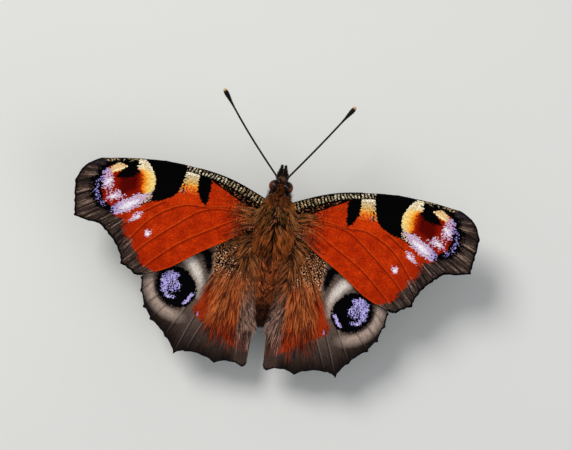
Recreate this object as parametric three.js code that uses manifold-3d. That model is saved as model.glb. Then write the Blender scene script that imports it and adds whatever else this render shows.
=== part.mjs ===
// A peacock butterfly at life size, wings spread, standing on the floor. Millimetres, +Z up.
// The head looks along +Y and the right wings lie on the +X side.
import * as THREE from 'three';
import Module from 'manifold-3d';

const wasm = await Module();
wasm.setup();

// Sizes that the whole animal shares.
const gap = 0.3;
const wingThickness = 0.5;
const veinHeight = 0.14;
const veinHalfWidth = 0.5;
const wingRows = 12;
const middleY = -1.78;

// The spread wings lie on one gently rising sheet, with the hindwings a step below it.
const sheet = { height: 7.9, rise: 0.11, droop: 0.0012, pitch: 0.05, rootX: 2.6 };
const hindwingDrop = 1.0;
const gutter = { depth: 0.4, reach: 1.2 };

// Body sections from front to back: y, centre height, half width, half height.
const thoraxSections = [
  [4.15, 7.75, 1.0, 1.0],
  [3.6, 7.55, 1.6, 1.6],
  [2.4, 7.3, 2.15, 2.15],
  [0.8, 7.1, 2.4, 2.35],
  [-0.8, 6.95, 2.4, 2.3],
  [-2.2, 6.85, 2.0, 1.95],
  [-3.1, 6.75, 1.55, 1.5],
  [-3.6, 6.7, 1.15, 1.1],
];
const abdomenSections = [
  [-3.9, 6.65, 1.1, 1.05],
  [-4.6, 6.6, 1.4, 1.35],
  [-6.2, 6.45, 1.6, 1.5],
  [-8.2, 6.25, 1.65, 1.5],
  [-10.2, 6.0, 1.5, 1.4],
  [-12.0, 5.75, 1.2, 1.15],
  [-13.6, 5.5, 0.85, 0.85],
  [-14.8, 5.3, 0.55, 0.55],
  [-15.65, 5.15, 0.25, 0.25],
];
const head = { y: 5.5, z: 8.15, halfWidth: 1.0, halfLength: 1.15, halfHeight: 1.15, halfSlab: 0.62, back: 4.45 };
const eye = { y: 5.5, z: 8.2, faceX: head.halfSlab + gap, bulge: 0.95, radius: 0.98 };

// Forewing veins from front to back, each from the wing's root to its end on the margin. from is
// the share of the length where the ridge begins, bulge bows the margin out to the next vein.
const forewing = {
  drop: 0,
  rootFront: 3.3,
  rootBack: -1.1,
  lines: [
    { from: 0, bulge: 0.1, path: [[6.1, 4.95], [9.2, 5.8], [12.3, 6.25]] },
    { from: 0, bulge: 0.2, path: [[6.0, 3.9], [10.0, 4.9], [14.0, 5.8], [18.0, 6.6]] },
    { from: 0, bulge: 0.75, path: [[5.9, 3.1], [9.9, 4.4], [14.0, 5.1], [20.0, 5.4], [27.6, 5.5]] },
    { from: 0, bulge: 0.05, path: [[5.9, 2.75], [9.9, 3.95], [14.0, 4.6], [22.0, 3.9], [30.95, 1.6]] },
    { from: 0, bulge: 0.0, path: [[5.9, 2.4], [9.9, 3.5], [14.0, 4.1], [21.0, 3.4], [26.4, 0.9], [30.6, -1.5]] },
    { from: 0.52, bulge: 0.15, path: [[6.5, 2.1], [11.0, 2.7], [17.0, 2.6], [22.4, 0.9], [30.3, -3.7]] },
    { from: 0.56, bulge: -0.05, path: [[6.5, 1.8], [11.0, 1.9], [16.5, 1.8], [20.4, -0.2], [26.5, -4.3]] },
    { from: 0.58, bulge: -0.15, path: [[6.5, 1.5], [11.0, 1.2], [16.0, 0.9], [20.5, -1.9], [24.7, -5.8]] },
    { from: 0, bulge: -0.15, path: [[6.5, 1.15], [10.5, 0.6], [14.4, 0.3], [18.9, -2.5], [22.9, -8.0]] },
    { from: 0, bulge: -0.15, path: [[6.2, 0.75], [11.0, 0.1], [15.0, -2.8], [19.1, -6.4], [22.3, -9.9]] },
    { from: 0, bulge: 0.1, path: [[4.8, 0.0], [9.0, -2.3], [14.6, -5.9], [20.1, -11.1]] },
    { from: 0, bulge: 0, path: [[4.2, -2.0], [7.0, -4.0], [10.8, -6.4], [15.0, -9.4], [19.0, -11.1]] },
  ],
};
const hindwing = {
  drop: hindwingDrop,
  rootFront: -0.9,
  rootBack: -3.3,
  lines: [
    { from: 0, bulge: -0.1, path: [[5.0, -1.3], [9.0, -3.0], [13.0, -5.6], [16.8, -8.9], [19.0, -11.3]] },
    { from: 0, bulge: -0.2, path: [[5.0, -1.9], [9.0, -4.4], [13.5, -8.2], [18.8, -13.3]] },
    { from: 0, bulge: -0.22, path: [[4.9, -2.5], [8.8, -5.8], [13.5, -10.6], [18.0, -15.7]] },
    { from: 0, bulge: -0.22, path: [[4.8, -3.0], [8.2, -7.0], [12.6, -12.4], [16.7, -17.4]] },
    { from: 0, bulge: -0.22, path: [[4.6, -3.5], [7.6, -8.0], [11.2, -14.0], [14.1, -19.6]] },
    { from: 0, bulge: -0.2, path: [[4.4, -4.1], [6.9, -9.0], [9.8, -15.2], [12.4, -22.0]] },
    { from: 0, bulge: -0.4, path: [[4.1, -4.6], [6.1, -9.6], [8.2, -15.4], [10.7, -21.4]] },
    { from: 0, bulge: -0.55, path: [[3.6, -4.9], [4.9, -9.6], [5.7, -15.2], [6.15, -22.45]] },
    { from: 0, bulge: 0.15, path: [[2.9, -5.0], [3.4, -9.6], [2.9, -15.2], [1.9, -22.4]] },
    { from: 0, bulge: 0, path: [[1.95, -6.0], [2.05, -8.5], [1.95, -11.0], [1.6, -13.5], [1.15, -16.5], [1.3, -21.7]] },
  ],
};

// Limbs and feelers as stations on the right side: x, y, z and radius.
const footRadius = 0.28;
const midlegStations = [
  [0.9, 0.9, 6.2, 0.42],
  [2.2, 1.5, 4.6, 0.4],
  [4.8, 2.7, 5.3, 0.34],
  [5.2, 2.9, 5.0, 0.3],
  [6.3, 3.5, 1.0, 0.27],
  [6.6, 3.65, 0.45, 0.26],
  [7.0, 3.85, footRadius, footRadius],
  [8.7, 4.7, footRadius, footRadius],
];
const hindlegStations = [
  [0.8, -1.7, 6.0, 0.42],
  [1.9, -2.6, 4.4, 0.4],
  [4.4, -4.9, 5.0, 0.34],
  [4.7, -5.2, 4.7, 0.3],
  [5.7, -7.8, 1.0, 0.27],
  [5.9, -8.2, 0.45, 0.26],
  [6.1, -8.6, footRadius, footRadius],
  [6.9, -10.4, footRadius, footRadius],
];
const forelegStations = [
  [0.9, 2.4, 6.6, 0.34],
  [1.15, 3.3, 5.3, 0.36],
  [1.35, 4.5, 5.45, 0.34],
  [1.1, 5.5, 6.2, 0.3],
  [0.95, 5.9, 6.55, 0.2],
];
const palpStations = [
  [0.4, 5.9, 7.9, 0.28],
  [0.47, 6.7, 7.55, 0.3],
  [0.47, 7.6, 7.95, 0.28],
  [0.44, 8.3, 8.45, 0.22],
  [0.42, 8.75, 8.7, 0.1],
];
const antenna = { base: [0.4, 6.0, 8.6], knee: [0.62, 6.55, 9.35], shaft: 0.25, club: 0.42 };
// The left feeler is held a little further out than the right one.
const antennaWays = {
  right: { tip: [9.5, 18.75, 11.9], bow: 0.2 },
  left: { tip: [10.75, 18.62, 11.9], bow: 0.42 },
};
const proboscis = { y: 6.45, z: 6.2, outer: 0.78, inner: 0.2, turns: 1.3, thick: 0.2, steps: 16 };

// Coat: rows of flat tapered locks. lift is how far a lock's middle stands off the skin.
const thoraxCoat = { from: 3.5, to: -2.7, row: 0.95, around: 14, length: 2.1, width: 1.0, thick: 0.5, lift: 0.5 };
const abdomenCoat = { from: -4.9, to: -13.9, row: 1.15, around: 9, length: 1.8, width: 0.95, thick: 0.5, lift: 0.35 };
const shoulder = {
  from: 3.3, to: 0.4, count: 6, angle: 0.85, spread: 1.1, length: 2.8, width: 0.9, thick: 0.5, lift: 0.4,
};
const sunk = 0.5;

const looks = {
  head: { color: 0x3a2418, roughness: 0.8, metalness: 0 },
  eye: { color: 0x2a1511, roughness: 0.25, metalness: 0 },
  antenna: { color: 0x17120f, roughness: 0.5, metalness: 0 },
  thorax: { color: 0x4a2f1c, roughness: 0.85, metalness: 0 },
  abdomen: { color: 0x4b2718, roughness: 0.85, metalness: 0 },
  forewing: { color: 0xb9330d, roughness: 0.7, metalness: 0 },
  hindwing: { color: 0x7c2a17, roughness: 0.7, metalness: 0 },
  leg: { color: 0x2e2018, roughness: 0.7, metalness: 0 },
};

// A seeded draw, so that every build gives the same coat.
let seed = 20240731;
function draw() {
  seed = (seed * 1664525 + 1013904223) % 4294967296;
  return seed / 4294967296;
}
function vary(value, share) {
  return value * (1 + share * (2 * draw() - 1));
}

function closedGeometry(positions, indices) {
  const geometry = new THREE.BufferGeometry();
  geometry.setAttribute('position', new THREE.Float32BufferAttribute(positions, 3));
  geometry.setIndex(indices);
  if (volumeOf(geometry) < 0) {
    turnFaces(geometry);
  }
  return geometry;
}

function volumeOf(geometry) {
  const place = geometry.attributes.position;
  const index = geometry.index;
  const corners = [new THREE.Vector3(), new THREE.Vector3(), new THREE.Vector3()];
  let sum = 0;
  for (let i = 0; i < index.count; i += 3) {
    corners.forEach((corner, k) => corner.fromBufferAttribute(place, index.getX(i + k)));
    sum += corners[0].dot(corners[1].cross(corners[2])) / 6;
  }
  return sum;
}

function turnFaces(geometry) {
  const index = geometry.index;
  for (let i = 0; i < index.count; i += 3) {
    const kept = index.getX(i + 1);
    index.setX(i + 1, index.getX(i + 2));
    index.setX(i + 2, kept);
  }
}

function mirrored(geometry) {
  const other = geometry.clone();
  const place = other.attributes.position;
  for (let i = 0; i < place.count; i += 1) {
    place.setX(i, -place.getX(i));
  }
  turnFaces(other);
  return other;
}

// A skin over rings of equal size. A ring of one point closes to a tip, any other end is capped.
function loft(rings) {
  const positions = [];
  const indices = [];
  const starts = [];
  for (const ring of rings) {
    starts.push(positions.length / 3);
    ring.forEach((point) => positions.push(point.x, point.y, point.z));
  }
  for (let i = 0; i + 1 < rings.length; i += 1) {
    const sides = Math.max(rings[i].length, rings[i + 1].length);
    const here = (j) => starts[i] + (rings[i].length === 1 ? 0 : j % sides);
    const next = (j) => starts[i + 1] + (rings[i + 1].length === 1 ? 0 : j % sides);
    for (let j = 0; j < sides; j += 1) {
      if (rings[i].length > 1) {
        indices.push(here(j), here(j + 1), next(j));
      }
      if (rings[i + 1].length > 1) {
        indices.push(here(j + 1), next(j + 1), next(j));
      }
    }
  }
  for (const end of [0, rings.length - 1]) {
    for (let j = 1; j + 1 < rings[end].length; j += 1) {
      const pair = end === 0 ? [j + 1, j] : [j, j + 1];
      indices.push(starts[end], starts[end] + pair[0], starts[end] + pair[1]);
    }
  }
  return closedGeometry(positions, indices);
}

// A ring of a tube with a flat underside, its half height exactly high.
function tubeRing(centre, along, up, wide, high, sides) {
  const side = new THREE.Vector3().crossVectors(along, up).normalize();
  const over = new THREE.Vector3().crossVectors(side, along).normalize();
  const ring = [];
  for (let j = 0; j < sides; j += 1) {
    const angle = -Math.PI / 2 + (Math.PI / sides) * (2 * j - 1);
    const across = Math.cos(angle) * wide;
    const raised = (Math.sin(angle) * high) / Math.cos(Math.PI / sides);
    ring.push(centre.clone().addScaledVector(side, across).addScaledVector(over, raised));
  }
  return ring;
}

// A tapered tube through stations of x, y, z and radius.
function tube(stations, sides, up = new THREE.Vector3(0, 0, 1)) {
  const points = stations.map(([x, y, z]) => new THREE.Vector3(x, y, z));
  const rings = points.map((point, i) => {
    const before = points[Math.max(i - 1, 0)];
    const after = points[Math.min(i + 1, points.length - 1)];
    const inward = point.clone().sub(before).normalize();
    const outward = after.clone().sub(point).normalize();
    const along = inward.add(outward).normalize();
    const radius = stations[i][3];
    return radius === 0 ? [point] : tubeRing(point, along, up, radius, radius, sides);
  });
  return loft(rings);
}

function toSolid(geometry) {
  const vertProperties = new Float32Array(geometry.attributes.position.array);
  const triVerts = new Uint32Array(geometry.index.array);
  return new wasm.Manifold(new wasm.Mesh({ numProp: 3, vertProperties, triVerts }));
}

// The largest closed surface of a solid, as a geometry.
function toGeometry(solid) {
  const pieces = solid.decompose();
  const largest = pieces.reduce((a, b) => (b.volume() > a.volume() ? b : a));
  const mesh = largest.getMesh();
  return closedGeometry(Array.from(mesh.vertProperties), Array.from(mesh.triVerts));
}

function cutClear(geometry, others) {
  const solid = others.reduce((rest, other) => rest.subtract(toSolid(other)), toSolid(geometry));
  return toGeometry(solid);
}

// Values of a section table at y, smooth between its rows.
function sectionAt(sections, y) {
  const spots = sections.map((row) => new THREE.Vector3(row[1], row[2], row[3]));
  const last = sections.length - 1;
  if (y >= sections[0][0]) {
    return spots[0];
  }
  if (y <= sections[last][0]) {
    return spots[last];
  }
  const i = sections.findIndex((row) => row[0] <= y) - 1;
  const t = (sections[i][0] - y) / (sections[i][0] - sections[i + 1][0]);
  return spots[i].lerp(spots[i + 1], t);
}

function bodyGeometry(sections, sides, grown = 0) {
  const last = sections.length - 1;
  const rings = sections.map(([y, z, wide, high], i) => {
    const shift = i === 0 ? grown : 0;
    const back = i === last ? grown : 0;
    const ring = [];
    for (let j = 0; j < sides; j += 1) {
      const angle = (2 * Math.PI * j) / sides;
      const x = (wide + grown) * Math.sin(angle);
      ring.push(new THREE.Vector3(x, y + shift - back, z + (high + grown) * Math.cos(angle)));
    }
    return ring;
  });
  return loft(rings);
}

// The head is an egg with flat cheeks, on which the eyes sit.
function headGeometry(grown = 0) {
  const stations = 9;
  const long = head.halfLength + grown;
  const from = head.back - grown - head.y;
  const rings = [];
  for (let i = 0; i < stations; i += 1) {
    const y = from + ((long - from) * i) / (stations - 1);
    const share = Math.sqrt(Math.max(0, 1 - (y / long) ** 2));
    if (share < 0.01) {
      rings.push([new THREE.Vector3(0, head.y + y, head.z)]);
      continue;
    }
    const ring = [];
    for (let j = 0; j < 16; j += 1) {
      const angle = (2 * Math.PI * j) / 16;
      const x = (head.halfWidth + grown) * share * Math.sin(angle);
      const cheek = head.halfSlab + grown;
      const z = head.z + (head.halfHeight + grown) * share * Math.cos(angle);
      ring.push(new THREE.Vector3(Math.min(cheek, Math.max(-cheek, x)), head.y + y, z));
    }
    rings.push(ring);
  }
  return loft(rings);
}

function eyeGeometry() {
  const stations = 5;
  const sides = 14;
  const rings = [];
  for (let i = 0; i < stations; i += 1) {
    const turn = (Math.PI / 2) * (i / stations);
    const x = eye.faceX + eye.bulge * Math.sin(turn);
    const ring = [];
    for (let j = 0; j < sides; j += 1) {
      const angle = (2 * Math.PI * j) / sides;
      const r = eye.radius * Math.cos(turn);
      ring.push(new THREE.Vector3(x, eye.y + r * Math.sin(angle), eye.z + r * Math.cos(angle)));
    }
    rings.push(ring);
  }
  rings.push([new THREE.Vector3(eye.faceX + eye.bulge, eye.y, eye.z)]);
  return loft(rings);
}

// How far the body's flank stands out at height z.
function flankX(y, z) {
  const sections = y > -3.75 ? thoraxSections : abdomenSections;
  const section = sectionAt(sections, y);
  const share = Math.min(1, Math.abs(z - section.x) / section.z);
  return section.y * Math.sqrt(1 - share * share);
}

function sheetHeight(x, y) {
  const out = Math.abs(x) - sheet.rootX;
  return sheet.height + sheet.rise * out - sheet.droop * out * out + sheet.pitch * y;
}

function innerEdgeX(y) {
  const edge = hindwing.lines[hindwing.lines.length - 1].path;
  const i = Math.max(1, edge.findIndex((point) => point[1] <= y));
  const [before, after] = [edge[i - 1], edge[i]];
  const t = Math.min(1, Math.max(0, (before[1] - y) / (before[1] - after[1])));
  return before[0] + t * (after[0] - before[0]);
}

function wingHeight(wing, x, y) {
  const level = sheetHeight(x, y) - wing.drop;
  if (wing === forewing) {
    return level;
  }
  return level - gutter.depth * Math.exp(-Math.max(0, x - innerEdgeX(y)) / gutter.reach);
}

function smoothStep(low, high, value) {
  return THREE.MathUtils.smoothstep(value, low, high);
}

// The wing's plan as a grid: a row for each share of the veins' length, four columns per strip.
function wingPlan(wing) {
  const lines = wing.lines.map((line, k) => {
    const share = k / (wing.lines.length - 1);
    const y = wing.rootFront + (wing.rootBack - wing.rootFront) * share;
    const x = flankX(y, sheetHeight(2.5, y) - wing.drop) + gap;
    const points = [[x, y], ...line.path].map((point) => new THREE.Vector2(point[0], point[1]));
    return { ...line, curve: new THREE.SplineCurve(points) };
  });
  const grid = [];
  for (let i = 0; i <= wingRows; i += 1) {
    const s = i / wingRows;
    const onMargin = i === wingRows;
    const points = lines.map((line) => line.curve.getPointAt(s));
    const ridges = lines.map((line) => veinHeight * ridgeShare(line.from, s));
    const row = [{ at: points[0], ridge: ridges[0] }];
    for (let k = 0; k + 1 < lines.length; k += 1) {
      const [a, b] = [points[k], points[k + 1]];
      const apart = a.distanceTo(b);
      const side = Math.min(0.25, veinHalfWidth / apart);
      const out = new THREE.Vector2(a.y - b.y, b.x - a.x).normalize();
      for (const t of [side, 0.5, 1 - side]) {
        const at = a.clone().lerp(b, t);
        if (onMargin) {
          at.addScaledVector(out, 4 * lines[k].bulge * t * (1 - t));
        }
        const fromA = ridges[k] * Math.max(0, 1 - (t * apart) / veinHalfWidth);
        const fromB = ridges[k + 1] * Math.max(0, 1 - ((1 - t) * apart) / veinHalfWidth);
        row.push({ at, ridge: Math.max(fromA, fromB) });
      }
      row.push({ at: b, ridge: ridges[k + 1] });
    }
    grid.push(row);
  }
  return grid;
}

function ridgeShare(from, s) {
  const begun = from === 0 ? 1 : smoothStep(from - 0.06, from + 0.02, s);
  return begun * (1 - 0.45 * s);
}

// Both faces share one set of triangles, and a band closes the edge.
function wingGeometry(wing) {
  const grid = wingPlan(wing);
  const wide = grid[0].length;
  const count = grid.length * wide;
  const positions = [];
  for (const face of [0.5, -0.5]) {
    for (const { at, ridge } of grid.flat()) {
      const level = wingHeight(wing, at.x, at.y) + ridge + face * wingThickness;
      positions.push(at.x, at.y, level);
    }
  }
  const indices = [];
  const band = (a, b) => indices.push(a, a + count, b, b, a + count, b + count);
  for (let i = 0; i + 1 < grid.length; i += 1) {
    for (let c = 0; c + 1 < wide; c += 1) {
      const a = i * wide + c;
      const [b, d, e] = [a + 1, a + wide, a + wide + 1];
      indices.push(a, b, d, b, e, d);
      indices.push(a + count, d + count, b + count, b + count, d + count, e + count);
    }
    band((i + 1) * wide, i * wide);
    band((i + 1) * wide - 1, (i + 2) * wide - 1);
  }
  for (let c = 0; c + 1 < wide; c += 1) {
    band(c, c + 1);
    const last = (grid.length - 1) * wide + c;
    band(last + 1, last);
  }
  return closedGeometry(positions, indices);
}

function antennaGeometry(way) {
  const [base, knee, tip] = [antenna.base, antenna.knee, way.tip].map((p) => new THREE.Vector3(...p));
  const stations = [[...base.toArray(), antenna.shaft], [...knee.toArray(), antenna.shaft]];
  const shares = [[0.3, 1], [0.6, 1], [0.78, 1], [0.86, 1.35], [0.92, antenna.club / antenna.shaft], [0.97, 1.5], [1, 0.6]];
  for (const [t, swell] of shares) {
    const point = knee.clone().lerp(tip, t);
    point.x += way.bow * Math.sin(Math.PI * t);
    point.z += 0.5 * Math.sin(Math.PI * t);
    stations.push([...point.toArray(), antenna.shaft * swell]);
  }
  return cutClear(tube(stations, 6), [headGeometry(gap)]);
}

function proboscisGeometry() {
  const stations = [];
  for (let i = 0; i <= proboscis.steps; i += 1) {
    const t = i / proboscis.steps;
    const angle = Math.PI * 0.62 - 2 * Math.PI * proboscis.turns * t;
    const r = proboscis.outer + (proboscis.inner - proboscis.outer) * t;
    const thick = proboscis.thick * (1 - 0.35 * t);
    stations.push([0, proboscis.y + r * Math.cos(angle), proboscis.z + r * Math.sin(angle), thick]);
  }
  return cutClear(tube(stations, 5, new THREE.Vector3(1, 0, 0)), [headGeometry(gap)]);
}

// One lock, from its root in the core along the coat's lie. It bends back towards the skin.
function lockSpine(root, normal, lie, length, lift) {
  const shares = [[-0.12, -sunk], [0.22, 0.55 * lift], [0.62, lift], [1, 0.75 * lift]];
  return shares.map(([t, off]) => {
    const point = root.clone().addScaledVector(lie, t * length);
    return point.addScaledVector(normal, off);
  });
}

function lockGeometry(spine, normal, width, thick) {
  const shape = [[0.75, 0.5], [1, 0.5], [0.62, 0.4]];
  const rings = spine.map((point, i) => {
    if (i === spine.length - 1) {
      return [point];
    }
    const before = spine[Math.max(i - 1, 0)];
    const along = spine[i + 1].clone().sub(before).normalize();
    return tubeRing(point, along, normal, (shape[i][0] * width) / Math.cos(Math.PI / 6) / 2, shape[i][1] * thick / 2, 3);
  });
  return loft(rings);
}

// Distances from a point to what the coat has to stay clear of.
function fromLimb(point, stations) {
  let least = Infinity;
  for (let i = 0; i + 1 < stations.length; i += 1) {
    const segment = new THREE.Line3(
      new THREE.Vector3(...stations[i].slice(0, 3)),
      new THREE.Vector3(...stations[i + 1].slice(0, 3)),
    );
    const nearest = segment.closestPointToPoint(point, true, new THREE.Vector3());
    least = Math.min(least, nearest.distanceTo(point) - stations[i][3]);
  }
  return least;
}

function fromBody(point, sections) {
  const last = sections.length - 1;
  const section = sectionAt(sections, point.y);
  const round = Math.hypot(point.x / section.y, (point.z - section.x) / section.z) - 1;
  const beside = round * Math.min(section.y, section.z);
  const beyond = Math.max(point.y - sections[0][0], sections[last][0] - point.y);
  return Math.max(beside, beyond);
}

function fromHead(point) {
  const away = Math.hypot(point.y - head.y, point.z - head.z) - Math.max(head.halfLength, eye.radius);
  return Math.max(away, Math.abs(point.x) - eye.faceX - eye.bulge);
}

function fromWings(point) {
  const x = Math.abs(point.x);
  let least = Infinity;
  for (const wing of [forewing, hindwing]) {
    const inner = wing === forewing ? flankX(point.y, sheetHeight(2.5, point.y)) + gap : innerEdgeX(point.y);
    const before = point.y - wing.rootFront - 0.4;
    const behind = wing === forewing ? wing.rootBack - 2 - point.y : -Infinity;
    const off = Math.abs(point.z - wingHeight(wing, Math.max(x, inner), point.y)) - wingThickness / 2;
    least = Math.min(least, Math.max(inner - x, before, behind, off));
  }
  return least;
}

// Rows of locks round a body core, each row set half a step round from the last.
function coatRows(sections, coat) {
  const locks = [];
  for (let row = 0; coat.from - row * coat.row >= coat.to; row += 1) {
    for (let j = 0; j < coat.around; j += 1) {
      const y = coat.from - row * coat.row + 0.25 * (draw() - 0.5);
      const angle = (2 * Math.PI * (j + (row % 2) / 2 + 0.3 * (draw() - 0.5))) / coat.around;
      const root = skinPoint(sections, y, angle);
      const lie = skinPoint(sections, y - coat.length, angle).sub(root).normalize();
      lie.x += 0.22 * (draw() - 0.5);
      lie.z += 0.12 * (draw() - 0.5);
      locks.push(lockOf(coat, root, angle, lie.normalize()));
    }
  }
  return locks;
}

// A tuft on each shoulder fans out and back over the wing's root.
function shoulderTufts(sections, tuft) {
  const locks = [];
  for (const side of [1, -1]) {
    for (let i = 0; i < tuft.count; i += 1) {
      const t = i / (tuft.count - 1);
      const y = tuft.from + (tuft.to - tuft.from) * t + 0.15 * (draw() - 0.5);
      const angle = side * (tuft.angle + 0.12 * (draw() - 0.5));
      const spread = tuft.spread * (1 - 0.5 * t);
      const lie = new THREE.Vector3(side * Math.sin(spread), -Math.cos(spread), 0.06);
      locks.push(lockOf(tuft, skinPoint(sections, y, angle), angle, lie.normalize()));
    }
  }
  return locks;
}

function skinPoint(sections, y, angle) {
  const section = sectionAt(sections, y);
  return new THREE.Vector3(section.y * Math.sin(angle), y, section.x + section.z * Math.cos(angle));
}

function lockOf(coat, root, angle, lie) {
  const normal = new THREE.Vector3(Math.sin(angle), 0, Math.cos(angle));
  const spine = lockSpine(root, normal, lie, vary(coat.length, 0.15), vary(coat.lift, 0.25));
  return { spine, normal, width: vary(coat.width, 0.15), thick: coat.thick };
}

// A core with those of its locks that keep clear of everything near.
function coatedBody(core, locks, obstacles) {
  const clear = locks.filter(({ spine, thick }) => {
    const nearest = Math.min(...spine.slice(1).map((point) => obstacles(point)));
    return nearest > gap + thick / 2;
  });
  const solids = clear.map(({ spine, normal, width, thick }) => toSolid(lockGeometry(spine, normal, width, thick)));
  return toGeometry(solids.reduce((whole, lock) => whole.add(lock), toSolid(core)));
}

function aroundThorax(point) {
  const limbs = [midlegStations, hindlegStations, forelegStations];
  const folded = new THREE.Vector3(Math.abs(point.x), point.y, point.z);
  const least = Math.min(...limbs.map((stations) => fromLimb(folded, stations)));
  return Math.min(least, fromBody(point, abdomenSections), fromHead(point), fromWings(point));
}

function aroundAbdomen(point) {
  const folded = new THREE.Vector3(Math.abs(point.x), point.y, point.z);
  return Math.min(fromLimb(folded, hindlegStations), fromBody(point, thoraxSections), fromWings(point));
}

const butterfly = new THREE.Group();

function addPart(name, geometry, look) {
  geometry.computeVertexNormals();
  const mesh = new THREE.Mesh(geometry, new THREE.MeshStandardMaterial(look));
  mesh.name = name;
  butterfly.add(mesh);
}

function addPair(name, geometry, look) {
  addPart(`${name}_right`, geometry, look);
  addPart(`${name}_left`, mirrored(geometry), look);
}

const grownThorax = bodyGeometry(thoraxSections, 18, gap);
const grownHead = headGeometry(gap);

addPart('head', headGeometry(), looks.head);
addPair('eye', eyeGeometry(), looks.eye);
addPart('antenna_right', antennaGeometry(antennaWays.right), looks.antenna);
addPart('antenna_left', mirrored(antennaGeometry(antennaWays.left)), looks.antenna);
addPair('palp', cutClear(tube(palpStations, 6), [grownHead]), looks.head);
addPart('proboscis', proboscisGeometry(), looks.head);
const thoraxLocks = [...coatRows(thoraxSections, thoraxCoat), ...shoulderTufts(thoraxSections, shoulder)];
addPart('thorax', coatedBody(bodyGeometry(thoraxSections, 18), thoraxLocks, aroundThorax), looks.thorax);
const abdomenLocks = coatRows(abdomenSections, abdomenCoat);
addPart('abdomen', coatedBody(bodyGeometry(abdomenSections, 16), abdomenLocks, aroundAbdomen), looks.abdomen);
addPair('forewing', wingGeometry(forewing), looks.forewing);
addPair('hindwing', wingGeometry(hindwing), looks.hindwing);
addPair('foreleg', cutClear(tube(forelegStations, 6), [grownThorax, grownHead]), looks.leg);
addPair('midleg', cutClear(tube(midlegStations, 6), [grownThorax]), looks.leg);
addPair('hindleg', cutClear(tube(hindlegStations, 6), [grownThorax]), looks.leg);

// The origin is on the floor, halfway from the feelers' tips to the hindwings' hind lobes.
butterfly.position.y = -middleY;
butterfly.updateMatrixWorld(true);

export default butterfly;
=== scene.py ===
import math
from functools import reduce
from types import SimpleNamespace

import bpy
import numpy as np
from mathutils import Matrix, Vector
from mathutils.kdtree import KDTree


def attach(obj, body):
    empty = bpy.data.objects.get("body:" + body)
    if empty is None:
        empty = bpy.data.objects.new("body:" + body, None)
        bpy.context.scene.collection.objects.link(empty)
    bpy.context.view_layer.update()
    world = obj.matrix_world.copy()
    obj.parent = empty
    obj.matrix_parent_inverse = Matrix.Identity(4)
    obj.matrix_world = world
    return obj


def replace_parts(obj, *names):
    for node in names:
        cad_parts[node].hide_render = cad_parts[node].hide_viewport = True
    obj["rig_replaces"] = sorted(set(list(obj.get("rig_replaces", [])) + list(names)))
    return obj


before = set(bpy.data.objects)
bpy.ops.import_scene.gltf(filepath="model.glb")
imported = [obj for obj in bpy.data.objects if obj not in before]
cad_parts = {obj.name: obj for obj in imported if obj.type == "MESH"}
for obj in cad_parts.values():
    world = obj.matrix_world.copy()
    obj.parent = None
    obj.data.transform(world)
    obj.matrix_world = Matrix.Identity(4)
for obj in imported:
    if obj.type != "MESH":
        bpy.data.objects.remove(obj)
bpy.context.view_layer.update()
print("frame loaded")

# Lengths are in millimetres, with the head along +Y and up along +Z, until a piece is finished.
mm = 0.001
ahead = 1.78        # the body's own middle lies this far in front of the origin
toRow = Matrix.Scale(mm, 4) @ Matrix.Translation((0, ahead, 0))
drawn = np.random.default_rng(31)


def pick(piece):
    if bpy.context.object and bpy.context.object.mode != "OBJECT":
        bpy.ops.object.mode_set(mode="OBJECT")
    bpy.ops.object.select_all(action="DESELECT")
    piece.select_set(True)
    bpy.context.view_layer.objects.active = piece


def modify(piece, kind, **settings):
    pick(piece)
    modifier = piece.modifiers.new(kind.lower(), kind)
    for name, value in settings.items():
        setattr(modifier, name, value)
    bpy.ops.object.modifier_apply(modifier=modifier.name)


def joinAll(pieces):
    pick(pieces[0])
    for piece in pieces:
        piece.select_set(True)
    bpy.ops.object.join()
    return pieces[0]


def placesOf(piece):
    flat = np.empty(len(piece.data.vertices) * 3)
    piece.data.vertices.foreach_get("co", flat)
    return flat.reshape(-1, 3)


def setPlaces(piece, places):
    piece.data.vertices.foreach_set("co", np.ascontiguousarray(places, dtype=float).ravel())
    piece.data.update()


def addAttribute(piece, name, values):
    kind = "FLOAT_VECTOR" if values.ndim == 2 else "FLOAT"
    attribute = piece.data.attributes.new(name, kind, "POINT")
    attribute.data.foreach_set("vector" if values.ndim == 2 else "value", values.astype(np.float32).ravel())


def finishPiece(piece, name, looks, stands=()):
    piece.data.transform(toRow @ piece.matrix_world)
    piece.matrix_world = Matrix.Identity(4)
    piece.name = piece.data.name = name
    if looks:
        piece.data.materials.clear()
        for look in looks:
            piece.data.materials.append(look)
    piece.data.shade_smooth()
    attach(piece, "root")
    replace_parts(piece, *stands)
    print("made", name, len(piece.data.polygons), "faces")
    return piece


def mirrorCopy(piece, name, stands):
    other = piece.copy()
    other.data = piece.data.copy()
    bpy.context.collection.objects.link(other)
    other.data.transform(Matrix.Diagonal((-1, 1, 1, 1)))
    other.data.flip_normals()
    other.name = other.data.name = name
    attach(other, "root")
    other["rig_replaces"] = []
    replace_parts(other, *stands)
    return other


def unit(vectors):
    return vectors / np.maximum(np.linalg.norm(vectors, axis=-1, keepdims=True), 1e-9)


def smoothStep(low, high, value):
    t = np.clip((value - low) / (high - low), 0, 1)
    return t * t * (3 - 2 * t)


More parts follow.
